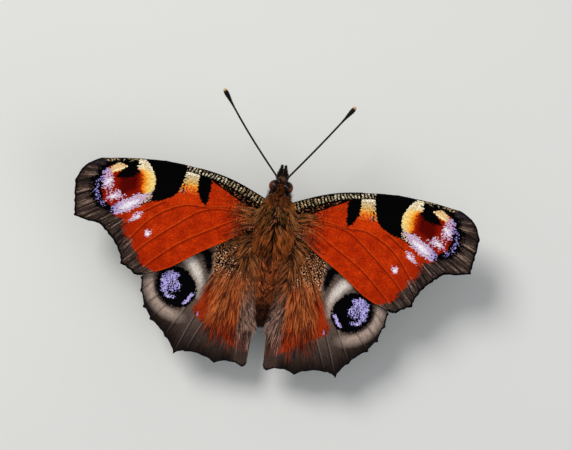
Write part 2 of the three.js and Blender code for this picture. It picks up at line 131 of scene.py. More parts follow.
sheet = {"height": 7.9, "rise": 0.11, "droop": 0.0012, "pitch": 0.05, "rootX": 2.6}
gutter = {"depth": 0.4, "reach": 1.2}
gap = 0.3
thoraxSections = np.array([
    (4.15, 7.75, 1.0, 1.0), (3.6, 7.55, 1.6, 1.6), (2.4, 7.3, 2.15, 2.15), (0.8, 7.1, 2.4, 2.35),
    (-0.8, 6.95, 2.4, 2.3), (-2.2, 6.85, 2.0, 1.95), (-3.1, 6.75, 1.55, 1.5), (-3.6, 6.7, 1.15, 1.1),
])
abdomenSections = np.array([
    (-3.9, 6.65, 1.1, 1.05), (-4.6, 6.6, 1.4, 1.35), (-6.2, 6.45, 1.6, 1.5), (-8.2, 6.25, 1.65, 1.5),
    (-10.2, 6.0, 1.5, 1.4), (-12.0, 5.75, 1.2, 1.15), (-13.6, 5.5, 0.85, 0.85), (-14.8, 5.3, 0.55, 0.55),
    (-15.65, 5.15, 0.25, 0.25),
])
bodySections = np.concatenate([thoraxSections, abdomenSections])
forewing = {
    "drop": 0.0, "rootFront": 3.3, "rootBack": -1.1, "frontStrips": 2,
    "lines": [
        (0, 0.1, [(6.1, 4.95), (9.2, 5.8), (12.3, 6.25)]),
        (0, 0.2, [(6.0, 3.9), (10.0, 4.9), (14.0, 5.8), (18.0, 6.6)]),
        (0, 0.75, [(5.9, 3.1), (9.9, 4.4), (14.0, 5.1), (20.0, 5.4), (27.6, 5.5)]),
        (0, 0.05, [(5.9, 2.75), (9.9, 3.95), (14.0, 4.6), (22.0, 3.9), (30.95, 1.6)]),
        (0, 0.0, [(5.9, 2.4), (9.9, 3.5), (14.0, 4.1), (21.0, 3.4), (26.4, 0.9), (30.6, -1.5)]),
        (0.52, 0.15, [(6.5, 2.1), (11.0, 2.7), (17.0, 2.6), (22.4, 0.9), (30.3, -3.7)]),
        (0.56, -0.05, [(6.5, 1.8), (11.0, 1.9), (16.5, 1.8), (20.4, -0.2), (26.5, -4.3)]),
        (0.58, -0.15, [(6.5, 1.5), (11.0, 1.2), (16.0, 0.9), (20.5, -1.9), (24.7, -5.8)]),
        (0, -0.15, [(6.5, 1.15), (10.5, 0.6), (14.4, 0.3), (18.9, -2.5), (22.9, -8.0)]),
        (0, -0.15, [(6.2, 0.75), (11.0, 0.1), (15.0, -2.8), (19.1, -6.4), (22.3, -9.9)]),
        (0, 0.1, [(4.8, 0.0), (9.0, -2.3), (14.6, -5.9), (20.1, -11.1)]),
        (0, 0, [(4.2, -2.0), (7.0, -4.0), (10.8, -6.4), (15.0, -9.4), (19.0, -11.1)]),
    ],
}
hindwing = {
    "drop": 1.0, "rootFront": -0.9, "rootBack": -3.3, "frontStrips": 0,
    "lines": [
        (0, -0.1, [(5.0, -1.3), (9.0, -3.0), (13.0, -5.6), (16.8, -8.9), (19.0, -11.3)]),
        (0, -0.2, [(5.0, -1.9), (9.0, -4.4), (13.5, -8.2), (18.8, -13.3)]),
        (0, -0.22, [(4.9, -2.5), (8.8, -5.8), (13.5, -10.6), (18.0, -15.7)]),
        (0, -0.22, [(4.8, -3.0), (8.2, -7.0), (12.6, -12.4), (16.7, -17.4)]),
        (0, -0.22, [(4.6, -3.5), (7.6, -8.0), (11.2, -14.0), (14.1, -19.6)]),
        (0, -0.2, [(4.4, -4.1), (6.9, -9.0), (9.8, -15.2), (12.4, -22.0)]),
        (0, -0.4, [(4.1, -4.6), (6.1, -9.6), (8.2, -15.4), (10.7, -21.4)]),
        (0, -0.55, [(3.6, -4.9), (4.9, -9.6), (5.7, -15.2), (6.15, -22.45)]),
        (0, 0.15, [(2.9, -5.0), (3.4, -9.6), (2.9, -15.2), (1.9, -22.4)]),
        (0, 0, [(1.95, -6.0), (2.05, -8.5), (1.95, -11.0), (1.6, -13.5), (1.15, -16.5), (1.3, -21.7)]),
    ],
}


def sectionAt(sections, y):
    back = sections[::-1]
    return [np.interp(y, back[:, 0], back[:, k]) for k in (1, 2, 3)]


def sheetHeight(x, y):
    out = np.abs(x) - sheet["rootX"]
    return sheet["height"] + sheet["rise"] * out - sheet["droop"] * out * out + sheet["pitch"] * y


def flankX(y, z):
    middle, wide, high = sectionAt(thoraxSections if y > -3.75 else abdomenSections, y)
    return wide * math.sqrt(1 - min(1, abs(z - middle) / high) ** 2)


def innerEdgeX(y):
    edge = np.array(hindwing["lines"][-1][2])[::-1]
    return np.interp(y, edge[:, 1], edge[:, 0])


def wingHeight(wing, x, y):
    level = sheetHeight(x, y) - wing["drop"]
    if wing is hindwing:
        level = level - gutter["depth"] * np.exp(-np.maximum(0, x - innerEdgeX(y)) / gutter["reach"])
    return level


def veinLine(points, shares):
    points = np.array(points, float)
    at = np.linspace(0, len(points) - 1, 201)
    i = np.minimum(at.astype(int), len(points) - 2)
    w = (at - i)[:, None]
    near = [points[np.clip(i + k, 0, len(points) - 1)] for k in (-1, 0, 1, 2)]
    v0, v1 = (near[2] - near[0]) / 2, (near[3] - near[1]) / 2
    line = (2 * near[1] - 2 * near[2] + v0 + v1) * w**3
    line += (3 * near[2] - 3 * near[1] - 2 * v0 - v1) * w**2 + v0 * w + near[1]
    run = np.concatenate([[0], np.cumsum(np.hypot(*np.diff(line, axis=0).T))])
    return np.stack([np.interp(shares * run[-1], run, line[:, k]) for k in (0, 1)], 1)


def wingLines(wing, shares):
    lines = []
    for k, line in enumerate(wing["lines"]):
        y = wing["rootFront"] + (wing["rootBack"] - wing["rootFront"]) * k / (len(wing["lines"]) - 1)
        x = flankX(y, sheetHeight(2.5, y) - wing["drop"]) + gap
        lines.append(veinLine([(x, y), *line[2]], shares))
    return np.array(lines)


def wingPoint(wing, lines, across, along):
    # a place on the wing's plan: across counts veins from the front, along runs from 0 (root) to 1 (margin)
    steps = lines.shape[1] - 1
    k = np.minimum(across.astype(int), len(lines) - 2)
    row = np.minimum((along * steps).astype(int), steps - 1)
    t, s = (across - k)[:, None], (along * steps - row)[:, None]
    near = lines[k, row] * (1 - s) + lines[k, row + 1] * s
    far = lines[k + 1, row] * (1 - s) + lines[k + 1, row + 1] * s
    bulges = np.array([line[1] for line in wing["lines"]])[k][:, None]
    out = unit(np.stack([near[:, 1] - far[:, 1], far[:, 0] - near[:, 0]], 1))
    bowed = 4 * bulges * t * (1 - t) * np.clip((along[:, None] - 11 / 12) * 12, 0, 1) ** 1.5
    return near * (1 - t) + far * t + out * bowed


class Wire:
    # one socket of a material, which sums can use as a number
    def __init__(self, tree, socket=None):
        self.tree, self.socket = tree, socket

    def node(self, kind, settings=None, values=None, out=0):
        made = self.tree.nodes.new("ShaderNode" + kind)
        for name, value in (settings or {}).items():
            if name == "stops":
                stops = made.color_ramp.elements
                (stops[0].position, stops[0].color), (stops[1].position, stops[1].color) = value[0], value[-1]
                for spot, colour in value[1:-1]:
                    stops.new(spot).color = colour
            else:
                setattr(made, name, value)
        for name, value in (values or {}).items():
            if isinstance(value, Wire):
                self.tree.links.new(value.socket, made.inputs[name])
            else:
                made.inputs[name].default_value = value
        return Wire(self.tree, made.outputs[out])

    def calc(self, operation, *others, clamp=False):
        return self.node("Math", {"operation": operation, "use_clamp": clamp},
                         dict(enumerate((self, *others))))

    def vector(self, operation, *others, out=0):
        return self.node("VectorMath", {"operation": operation}, dict(enumerate((self, *others))), out)

    def part(self, index):
        return self.node("SeparateXYZ", {}, {0: self}, index)

    def limit(self):
        return self.calc("ADD", 0.0, clamp=True)

    def __add__(self, other):
        return self.calc("ADD", other)

    def __sub__(self, other):
        return self.calc("SUBTRACT", other)

    def __rsub__(self, other):
        return self.node("Math", {"operation": "SUBTRACT"}, {0: other, 1: self})

    def __mul__(self, other):
        return self.calc("MULTIPLY", other)

    def __truediv__(self, other):
        return self.calc("DIVIDE", other)

    def __gt__(self, other):
        return self.calc("GREATER_THAN", other)

    def __lt__(self, other):
        return self.calc("LESS_THAN", other)

    def __rtruediv__(self, other):
        return self.node("Math", {"operation": "DIVIDE"}, {0: other, 1: self})

    __radd__ = __add__
    __rmul__ = __mul__


def tone(red, green, blue):
    spread = [v / 255 for v in (red, green, blue)]
    return (*[v / 12.92 if v <= 0.04045 else ((v + 0.055) / 1.055) ** 2.4 for v in spread], 1.0)


def startLook(name, **constants):
    look = bpy.data.materials.new(name)
    look.use_nodes = True
    shader = look.node_tree.nodes["Principled BSDF"]
    for socket, value in constants.items():
        shader.inputs[socket.replace("_", " ")].default_value = value
    return look, Wire(look.node_tree), shader


def feed(shader, socket, wire):
    wire.tree.links.new(wire.socket, shader.inputs[socket])


def over(under, colour, share):
    return share.node("Mix", {"data_type": "RGBA"}, {0: share, 6: under, 7: colour}, 2)


def blend(first, second, share):
    return over(tone(*first), tone(*second), share)


def shade(colour, amount):
    # a colour times a number that varies
    return amount.node("VectorMath", {"operation": "SCALE"}, {0: colour, 3: amount})


def roughen(shader, height, strength, distance):
    values = {"Strength": strength, "Distance": distance, "Height": height}
    feed(shader, "Normal", height.node("Bump", {}, values))


def joined(x, y, z=0.0):
    return x.node("CombineXYZ", {}, {0: x, 1: y, 2: z})


def stretched(place, angle, scale):
    return place.node("Mapping", {}, {"Vector": place, "Rotation": (0, 0, angle), "Scale": (*scale, 1)})


def least(*values):
    return reduce(lambda low, value: low.calc("MINIMUM", value), values)


def most(*values):
    return reduce(lambda high, value: high.calc("MAXIMUM", value), values)


def parts(pen, name, count):
    # the numbers that a mesh carries in a vector attribute
    spot = pen.node("Attribute", {"attribute_name": name}, {}, 1)
    return [spot.part(k) for k in range(count)]


def noise(place, size, detail=2.0):
    return place.node("TexNoise", {}, {"Vector": place, "Scale": 1 / size, "Detail": detail})


def bodyPlace(pen):
    # where a point is on the animal, in millimetres
    return pen.node("TexCoord", {}, {}, 3).vector("MULTIPLY_ADD", (1 / mm,) * 3, (0, -ahead, 0))


def dot(place, direction):
    return place.vector("DOT_PRODUCT", direction, out=1)


def stroke(place, points):
    # how deep a place lies in a brush stroke through points of x, y and radius, negative outside it
    depths = []
    for (ax, ay, ar), (bx, by, br) in zip(points, points[1:]):
        along = (bx - ax, by - ay, 0)
        length = along[0] ** 2 + along[1] ** 2
        local = place.vector("SUBTRACT", (ax, ay, 0))
        share = dot(local, (along[0] / length, along[1] / length, 0)).limit()
        off = local.vector("DISTANCE", shade(along, share), out=1)
        depths.append((share * (br - ar) + ar) - off)
    return most(*depths)


def oval(place, middle, radii, turn=0.0):
    turned = {"Location": (*middle, 0), "Rotation": (0, 0, math.radians(turn)), "Scale": (*radii, 1)}
    local = place.node("Mapping", {"vector_type": "TEXTURE"}, {"Vector": place, **turned})
    return (1 - local.vector("LENGTH", out=1)) * (sum(radii) / 2)


def beyond(place, start, end):
    # how far a place lies to the left of the line from start to end
    dx, dy = end[0] - start[0], end[1] - start[1]
    size = math.hypot(dx, dy)
    return dot(place, (-dy / size, dx / size, 0)) - (-dy * start[0] + dx * start[1]) / size


def soft(depth, width):
    return (depth / width + 0.5).limit()


def ragged(depth, width, chance):
    # each scale is wholly in or out, by its own chance
    return (depth / width + 0.5) > chance


def ramp(value, low, high):
    return ((value - low) / (high - low)).limit()


def curve(value, points):
    # a number that follows another through a few points
    bottom, top = min(point[1] for point in points), max(point[1] for point in points)
    steps = [(at, (*[(result - bottom) / (top - bottom)] * 3, 1.0)) for at, result in points]
    return tones(value, steps) * (top - bottom) + bottom


def tones(value, steps):
    # a colour that follows a number through a few colours
    low, high = steps[0][0], steps[-1][0]
    stops = [((at - low) / (high - low), colour) for at, colour in steps]
    return value.node("ValToRGB", {"stops": stops}, {0: (value - low) / (high - low)})


scaleSize = {"long": 0.2, "wide": 0.11}


def scaleCells(pen, turn):
    # the wing's scales: the middle of each, three draws for each, and how far a point is from the middle
    spot = bodyPlace(pen).vector("MULTIPLY", (1, 1, 0))
    flat = joined(spot.vector("ABSOLUTE").part(0), spot.part(1))
    turned = {"Rotation": (0, 0, math.radians(turn)), "Scale": (scaleSize["long"], scaleSize["wide"], 1)}
    cell = pen.node("Mapping", {"vector_type": "TEXTURE"}, {"Vector": flat, **turned})
    made = pen.node("TexVoronoi", {"voronoi_dimensions": "2D"},
                    {"Vector": cell, "Scale": 1.0, "Randomness": 0.85})
    position, colour = (Wire(pen.tree, made.socket.node.outputs[name]) for name in ("Position", "Color"))
    middle = pen.node("Mapping", {"vector_type": "POINT"}, {"Vector": position, **turned})
    return flat, middle, [pen.node("SeparateColor", {}, {0: colour}, k) for k in range(3)], made


def nudged(flat, cell, reach):
    # x and y of a scale's middle, moved a little so that no edge is quite even
    wander = flat.node("TexNoise", {}, {"Vector": flat, "Scale": 1.3, "Detail": 2.0}, 1)
    place = cell.vector("ADD", wander.vector("MULTIPLY_ADD", (reach * 2,) * 3, (-reach,) * 3))
    return place.part(0), place.part(1)


def finishWingLook(shader, colour, draws, gaps):
    feed(shader, "Base Color", shade(colour, draws[0] * 0.5 + 0.75))
    feed(shader, "Roughness", draws[1] * 0.2 + 0.6)
    roughen(shader, 1 - gaps, 0.35, 0.00003)


forewingTones = {name: tone(*rgb) for name, rgb in {
    # vein is painted shade below the vein ridges and ridge a painted highlight above them
    "field": (176, 42, 5), "deep": (146, 29, 4), "bright": (208, 60, 9), "vein": (104, 18, 4),
    "ridge": (222, 84, 20), "black": (4, 3, 4), "sand": (204, 177, 129), "cream": (222, 194, 142),
    "white": (248, 238, 209), "yellow": (246, 196, 96), "amber": (240, 146, 28), "orange": (224, 92, 8),
    "beige": (186, 156, 124), "maroon": (80, 6, 2), "crimson": (144, 23, 4), "lilac": (192, 160, 190),
    "blue": (154, 142, 212), "pale": (216, 192, 206), "core": (236, 230, 240), "tan": (190, 120, 66),
    "umber": (120, 52, 22), "dark": (20, 15, 15), "brown": (52, 40, 36), "taupe": (78, 62, 54),
    "light": (146, 122, 106), "rim": (9, 8, 10), "slate": (40, 34, 40),
}.items()}
forewingEdges = {
    # the lower edge of the black ground and the upper one of the lilac stripe, as y at x
    "ground": [(14.4, 6.5), (14.6, 5.0), (14.85, 4.0), (15.0, 3.2), (15.3, 2.3), (15.8, 1.6), (16.4, 1.1),
               (17.4, 0.65), (18.2, 0.4), (19.2, 0.05), (20.0, -0.35), (21.3, -1.1), (22.6, -2.0),
               (23.3, -2.35), (25.5, -2.9)],
    "stripe": [(19.2, 1.75), (19.9, 1.65), (20.5, 1.1), (21.2, 0.9), (22.0, 0.55), (23.4, -0.25),
               (24.6, -1.25), (25.4, -2.1)],
    "top": [(21.0, 4.5), (22.2, 5.0), (23.5, 5.0), (24.6, 5.3), (25.5, 4.9), (26.2, 4.3), (27.0, 3.4)],
    # both edges of the crescent, the bar and the eyespot's heart, and where the margin begins, as x at y
    "crescentOut": [(-0.6, 20.6), (-0.2, 19.95), (0.1, 19.45), (0.5, 19.2), (1.0, 19.1), (2.0, 19.03),
                    (2.75, 18.92), (3.5, 19.05), (4.0, 19.2), (4.5, 19.4), (5.0, 19.7), (5.55, 20.0),
                    (6.1, 20.8)],
    "crescentIn": [(0.6, 20.6), (1.2, 20.72), (1.8, 20.82), (2.5, 20.9), (3.3, 20.93), (3.9, 21.0),
                   (4.3, 21.35), (4.65, 21.75), (5.1, 22.15), (5.5, 21.8), (6.1, 22.0)],
    "heart": [(-1.6, 24.9), (-1.2, 25.5), (-0.8, 26.2), (-0.3, 26.8), (0.4, 26.9), (1.2, 26.7), (2.0, 26.9),
              (3.0, 27.0), (4.0, 26.7)],
    "barIn": [(0.9, 10.95), (1.4, 10.85), (2.2, 10.7), (3.0, 10.55), (4.0, 10.6), (5.2, 10.75)],
    "barOut": [(0.9, 11.1), (1.15, 11.5), (1.5, 11.8), (2.0, 12.1), (2.6, 12.4), (3.4, 12.55), (4.4, 12.6),
               (5.2, 12.5)],
    "margin": [(-10.4, 17.0), (-10.1, 17.8), (-9.5, 19.3), (-8.2, 20.0), (-7.0, 21.0), (-5.9, 21.8),
               (-4.8, 22.6), (-3.3, 22.8), (-2.75, 24.2), (-2.45, 25.0), (-2.15, 26.0), (-1.95, 27.0),
               (-1.5, 27.8), (-0.85, 28.3), (0.8, 28.65), (1.8, 28.6), (2.5, 28.5), (3.25, 28.2),
               (3.95, 27.9), (4.75, 27.3), (5.3, 26.7), (6.2, 25.8)],
    # the barred band along the front and the dotted one behind it, as widths at x
    "bars": [(3.0, 1.3), (5.0, 1.4), (7.0, 1.25), (9.0, 1.1), (12.0, 0.95), (14.6, 0.9)],
    "dots": [(3.0, 2.4), (5.0, 2.5), (7.0, 2.25), (8.5, 1.95), (9.7, 1.6), (10.6, 1.3), (12.6, 0.98),
             (14.6, 0.95)],
}


def forewingLook():
    look, pen, shader = startLook("forewing_scales", Specular_IOR_Level=0.01)
    flat, cell, d, gaps = scaleCells(pen, -20)
    fromMargin, fromFront, fromVein = parts(pen, "wingPlace", 3)
    across, along = parts(pen, "wingStreet", 2)
    x, y = nudged(flat, cell, 0.12)
    edge = SimpleNamespace(**{
        name: curve(x if name in ("ground", "stripe", "top", "bars", "dots") else y, points)
        for name, points in forewingEdges.items()})
    # c holds the tones and d the three draws of each scale
    c = SimpleNamespace(**forewingTones)
    # the red field, deeper in patches, with painted shade along faint creases, painted shade below each vein
    # ridge and a painted highlight above it
    wander = noise(flat, 1.6, 4)
    colour = tones(wander + (d[1] - 0.5) * 0.12, [(0.2, c.deep), (0.5, c.field), (0.85, c.bright)])
    colour = over(colour, c.bright, soft(oval(flat, (13.8, 1.9), (2.6, 1.5), -15), 2.0) * 0.65)
    colour = over(colour, c.deep, ramp(fromMargin, 5.2, 3.0) * 0.45)
    # painted shade along faint creases of the wing
    creaseShade = noise(stretched(flat, -0.65, (1.9, 0.8)), 0.55, 2)
    colour = over(colour, c.deep, ramp(creaseShade, 0.5, 0.66) * 0.3)
    colour = shade(colour, noise(flat, 0.2, 1) * 0.9 + 0.55)
    below = across.calc("FRACT")
    onField = ramp(across, 6.5, 6.9)
    # painted shade on the lower side of each vein ridge and a painted highlight on its upper side
    colour = over(colour, c.vein, ramp(fromVein, 0.34, 0.1) * onField * (below < 0.5) * 0.7)
    colour = over(colour, c.ridge, ramp(fromVein, 0.3, 0.1) * onField * (below > 0.5) * 0.25)
    # the dusky base, where black, umber and tan scales mix
    dusk = ramp(x + noise(flat, 1.2, 2) * 2.4 - (y - 1.0) * 0.3, 10.4, 5.4)
    grit = noise(joined(across * 3.2, along * 95.0), 1.0, 1)
    colour = over(colour, c.umber, (dusk * 0.36) > d[1])
    colour = over(colour, c.tan, (grit + (d[1] - 0.5) * 0.1 + (1 - dusk) * 0.22) < 0.41)
    colour = over(colour, c.black, (grit + (d[2] - 0.5) * 0.12 - (1 - dusk) * 0.3) > 0.45)
    # white spots on the field
    spot = stroke(cell, [(20.35, -1.6, 0.12), (20.8, -2.3, 0.5), (21.3, -2.7, 0.45), (22.0, -3.4, 0.15)])
    spot = most(spot, oval(cell, (18.9, -4.75), (0.42, 0.55), 20))
    mauve = over(c.lilac, c.pale, d[1] > 0.6)
    colour = over(colour, mauve, ragged(least(spot - 0.14, 0.25), 0.8, d[2]))
    heart = most(stroke(cell, [(20.65, -2.3, 0.22), (21.05, -2.6, 0.17)]),
                 oval(cell, (18.9, -4.75), (0.29, 0.39), 20))
    colour = over(colour, c.core, ragged(heart, 0.35, d[0]))
    # the cream patch, through amber and orange into the field
    warm = tones(y + d[1] * 0.8 + noise(cell, 0.35, 1) * 2.0 - 1.4, [
        (2.1, c.orange), (3.0, c.orange), (3.5, c.amber), (3.9, c.yellow), (4.3, c.sand),
        (4.9, c.sand), (5.15, c.white)])
    warm = over(warm, tone(160, 128, 82), (noise(flat, 0.25, 1) > 0.56) * 0.55)
    patch = (ramp(y, 2.0, 3.1) * ramp(x, 12.2, 12.5)) > d[2]
    colour = over(colour, warm, patch)
    far = ramp(x, 13.9, 14.8) * ramp(y, 1.9, 2.6)
    colour = over(colour, c.beige, (far * 0.4) > d[0])
    colour = over(colour, c.dark, (far * 0.5) > d[1])
    # the first bar, which ends in a blunt tip
    bar = least(x - edge.barIn, edge.barOut - x, (y - 0.95) * 0.7)
    colour = over(colour, c.dark, ragged(bar + 0.1, 0.3, d[2]) * (x < 11.3))
    colour = over(colour, c.black, ragged(bar, 0.12, d[2]))
    # the black ground of the second patch and the eyespot
    ground = y - edge.ground
    colour = over(colour, c.black, ragged(ground, 0.22, d[2]))
    # the eyespot's heart, maroon with a black pupil
    inwards = x - edge.crescentIn
    inHeart = least(inwards, y - edge.stripe, edge.heart - x, edge.top - y)
    ember = tones(inwards + d[1] * 0.3, [
        (0.0, c.orange), (0.45, c.crimson), (1.2, c.maroon), (3.2, c.maroon), (4.4, c.crimson)])
    ember = over(ember, c.crimson, ramp(y - edge.stripe, 1.3, 0.2) * 0.8)
    colour = over(colour, ember, ragged(inHeart, 0.25, d[2]))
    pupil = stroke(cell, [(22.0, 4.5, 0.55), (22.9, 4.3, 1.05), (23.7, 3.8, 0.85), (24.5, 3.2, 0.35)])
    pupil = most(pupil, oval(cell, (22.9, 5.4), (1.0, 0.8)))
    colour = over(colour, c.black, ragged(pupil, 0.35, d[2]))
    colour = over(colour, c.black, ((ramp(x, 26.0, 27.2) * 0.8) > d[0]) * (inwards > 4.0))
    # the lilac stripe under it
    stripe = least(ground, edge.stripe - y, (24.7 - x) * 0.6, x - edge.crescentOut - 0.16)
    mauve = over(c.lilac, c.pale, ramp(d[1] + (d[0] - 0.5) * 0.3, 0.45, 0.75))
    mauve = over(mauve, c.blue, ramp(x + d[0], 23.8, 25.2) * 0.8)
    mauve = over(mauve, c.beige, ramp(x + y * 0.5 + d[0] * 0.5, 21.0, 20.0) * 0.85)
    colour = over(colour, mauve, ragged(least(stripe, 0.22), 0.5, d[2]))
    core = stroke(cell, [(21.3, -0.1, 0.2), (22.3, -0.78, 0.36), (23.5, -1.6, 0.24)])
    colour = over(colour, c.core, ragged(core, 0.4, d[0]))
    # the crescent, cream at the front, yellow and amber inside
    share = ((x - edge.crescentOut) / (edge.crescentIn - edge.crescentOut)) + (d[1] - 0.5) * 0.3
    glow = tones(share, [
        (0.0, c.cream), (0.15, tone(244, 216, 140)), (0.5, c.yellow), (0.8, c.amber), (1.0, c.orange)])
    glow = over(glow, over(c.cream, c.white, d[0]), ramp(y + (d[1] - 0.5) * 0.5, 4.5, 5.1))
    glow = over(glow, c.beige, ramp(y + share + d[0] * 0.5, 2.3, 1.6) * 0.9)
    crescent = least(x - edge.crescentOut, edge.crescentIn - x, 6.3 - y,
                     beyond(cell, (19.0, 1.6), (21.0, 0.9)))
    colour = over(colour, glow, ragged(crescent, 0.2, d[2]))
    line = stroke(cell, [(21.5, 5.5, 0.05), (22.5, 5.45, 0.14), (23.3, 5.45, 0.2)])
    colour = over(colour, c.black, ragged(line, 0.15, d[2]))
    # the second cream patch, with a pale stripe and an amber lower edge
    second = stroke(cell, [(23.6, 4.85, 0.1), (24.3, 4.8, 0.45), (25.1, 4.4, 0.62), (25.8, 3.95, 0.35)])
    rung = dot(cell, (0.447, 0.894, 0)) + (d[1] - 0.5) * 0.15
    rungs = tones(rung, [
        (14.45, c.amber), (14.7, c.yellow), (14.85, c.white), (15.0, tone(226, 180, 122)), (15.8, c.cream)])
    colour = over(colour, rungs, ragged(second, 0.3, d[2]))
    # lilac scales scattered round white hearts
    for outer, core, cool in [
        ([(26.4, 3.65, 0.5), (26.2, 2.65, 0.82), (26.0, 1.75, 0.75), (26.3, 1.05, 0.3)],
         [(25.6, 2.6, 0.2), (26.15, 1.85, 0.3)], (26.3, 27.1)),
        ([(23.6, 0.35, 0.2), (24.6, 0.35, 0.66), (25.4, -0.15, 0.55), (25.9, -0.4, 0.15)],
         [(24.5, 0.3, 0.2), (25.2, -0.2, 0.14)], (25.9, 27.0)),
    ]:
        mauve = over(over(c.lilac, c.pale, d[1] > 0.6), c.blue, ramp(x + (d[0] - 0.5) * 0.6, *cool))
        colour = over(colour, mauve, ragged(least(stroke(cell, outer) - 0.1, 0.3), 0.9, d[2]))
        colour = over(colour, c.core, ragged(stroke(cell, core), 0.45, d[0]))
    dots = stroke(cell, [(27.1, 2.6, 0.1), (27.6, 1.9, 0.12), (27.6, 0.9, 0.28), (27.4, 0.1, 0.28),
                         (27.0, -0.9, 0.2), (26.1, -1.35, 0.25)])
    chance = d[1] + (noise(flat, 0.3, 1) - 0.5) * 2.5
    colour = over(colour, c.blue, ragged(least(dots - 0.2, 0.0), 0.6, chance))
    # the streaked brown margin and its black rim
    streak = noise(joined(across * 7.0, along * 5.0), 1.0, 3)
    band = x - edge.margin + (streak - 0.5) * 1.3
    brown = tones(streak + (d[1] - 0.5) * 0.1,
                  [(0.34, c.dark), (0.48, c.brown), (0.58, c.taupe), (0.7, c.light)])
    brown = over(brown, c.dark, ramp(fromMargin, 0.9, 0.2) * 0.6)
    brown = over(brown, c.slate, ramp(fromFront, 2.3, 0.9) * 0.85)
    colour = over(colour, brown, ragged(band, 1.0, d[2]))
    colour = over(colour, c.rim, ragged(0.31 - fromMargin, 0.16, d[0]))
    # the front edge, barred near the root, dotted behind the bars and past the eyespot
    run = x - fromFront * 0.37
    jitter = noise(flat, 0.9, 1)
    wave = (run * 12.6 + jitter * 7.0).calc("SINE")
    inBars = soft(edge.bars - 0.08 - fromFront, 0.1) * soft(fromFront - 0.14, 0.08) * ramp(x, 14.7, 14.4)
    bright = ramp(noise(cell, 0.3, 1), 0.4, 0.6)
    golden = ramp(x, 9.0, 5.5)
    bars = ramp(wave + (noise(flat, 0.35, 1) - 0.5) * 0.9 - golden * 0.25, 0.4, 0.75)
    light = over(over(c.cream, c.white, bright), tone(226, 178, 100), golden * 0.55)
    costa = over(c.black, light, bars * inBars * (bright * 0.5 + 0.5))
    fine = (noise(stretched(flat, -0.3, (0.6, 1.3)), 0.2, 1) > 0.62) * ramp(x, 10.2, 9.4)
    fine = fine * soft(edge.dots - 0.16 - fromFront, 0.08) * soft(fromFront - edge.bars - 0.12, 0.08)
    costa = over(costa, c.tan, fine * 0.85)
    colour = over(colour, costa, ragged(edge.dots - fromFront, 0.12, d[2]) * ramp(x, 14.8, 14.6))
    rim = ragged(ramp(x, 17.0, 21.0) * 0.1 + 0.32 - fromFront, 0.14, d[2])
    colour = over(colour, c.rim, rim * ramp(x, 14.6, 14.8))
    flecks = (noise(cell, 0.3, 1) > 0.55) * soft(0.13 - (fromFront - 0.42).calc("ABSOLUTE"), 0.1)
    flecks = flecks * ramp(x, 21.3, 21.8) * ramp(x, 27.3, 26.4)
    colour = over(colour, c.cream, flecks * 0.7)
    colour = over(colour, c.slate, ramp(fromFront, 0.24, 0.12) * ramp(x, 19.5, 22.0) * 0.8)
    finishWingLook(shader, colour, d, gaps)
    return look


hindwingTones = {name: tone(*rgb) for name, rgb in {
    "rust": (142, 43, 13), "scarlet": (162, 50, 14), "deep": (104, 28, 9), "black": (4, 4, 6),
    "cream": (214, 203, 193), "fawn": (172, 152, 140), "lilac": (162, 154, 224), "violet": (184, 168, 228),
    "taupe": (167, 146, 133), "brown": (68, 54, 48), "umber": (37, 28, 24), "dark": (22, 16, 14),
    "rim": (20, 17, 24), "tan": (226, 178, 138), "tawny": (150, 92, 56), "pink": (116, 88, 76),
    "grey": (92, 78, 68),
}.items()}
# where the rust field ends, as x at y
hindwingField = [
    (-20.4, 1.0), (-20.0, 2.9), (-19.6, 3.7), (-19.0, 4.7), (-18.4, 5.4), (-17.9, 6.1), (-17.4, 7.1),
    (-16.8, 8.3), (-16.1, 9.8), (-15.6, 10.4), (-15.0, 10.5), (-14.0, 10.3), (-13.0, 9.9), (-12.0, 9.5),
    (-11.0, 9.0), (-10.2, 8.3), (-8.5, 8.2),
]


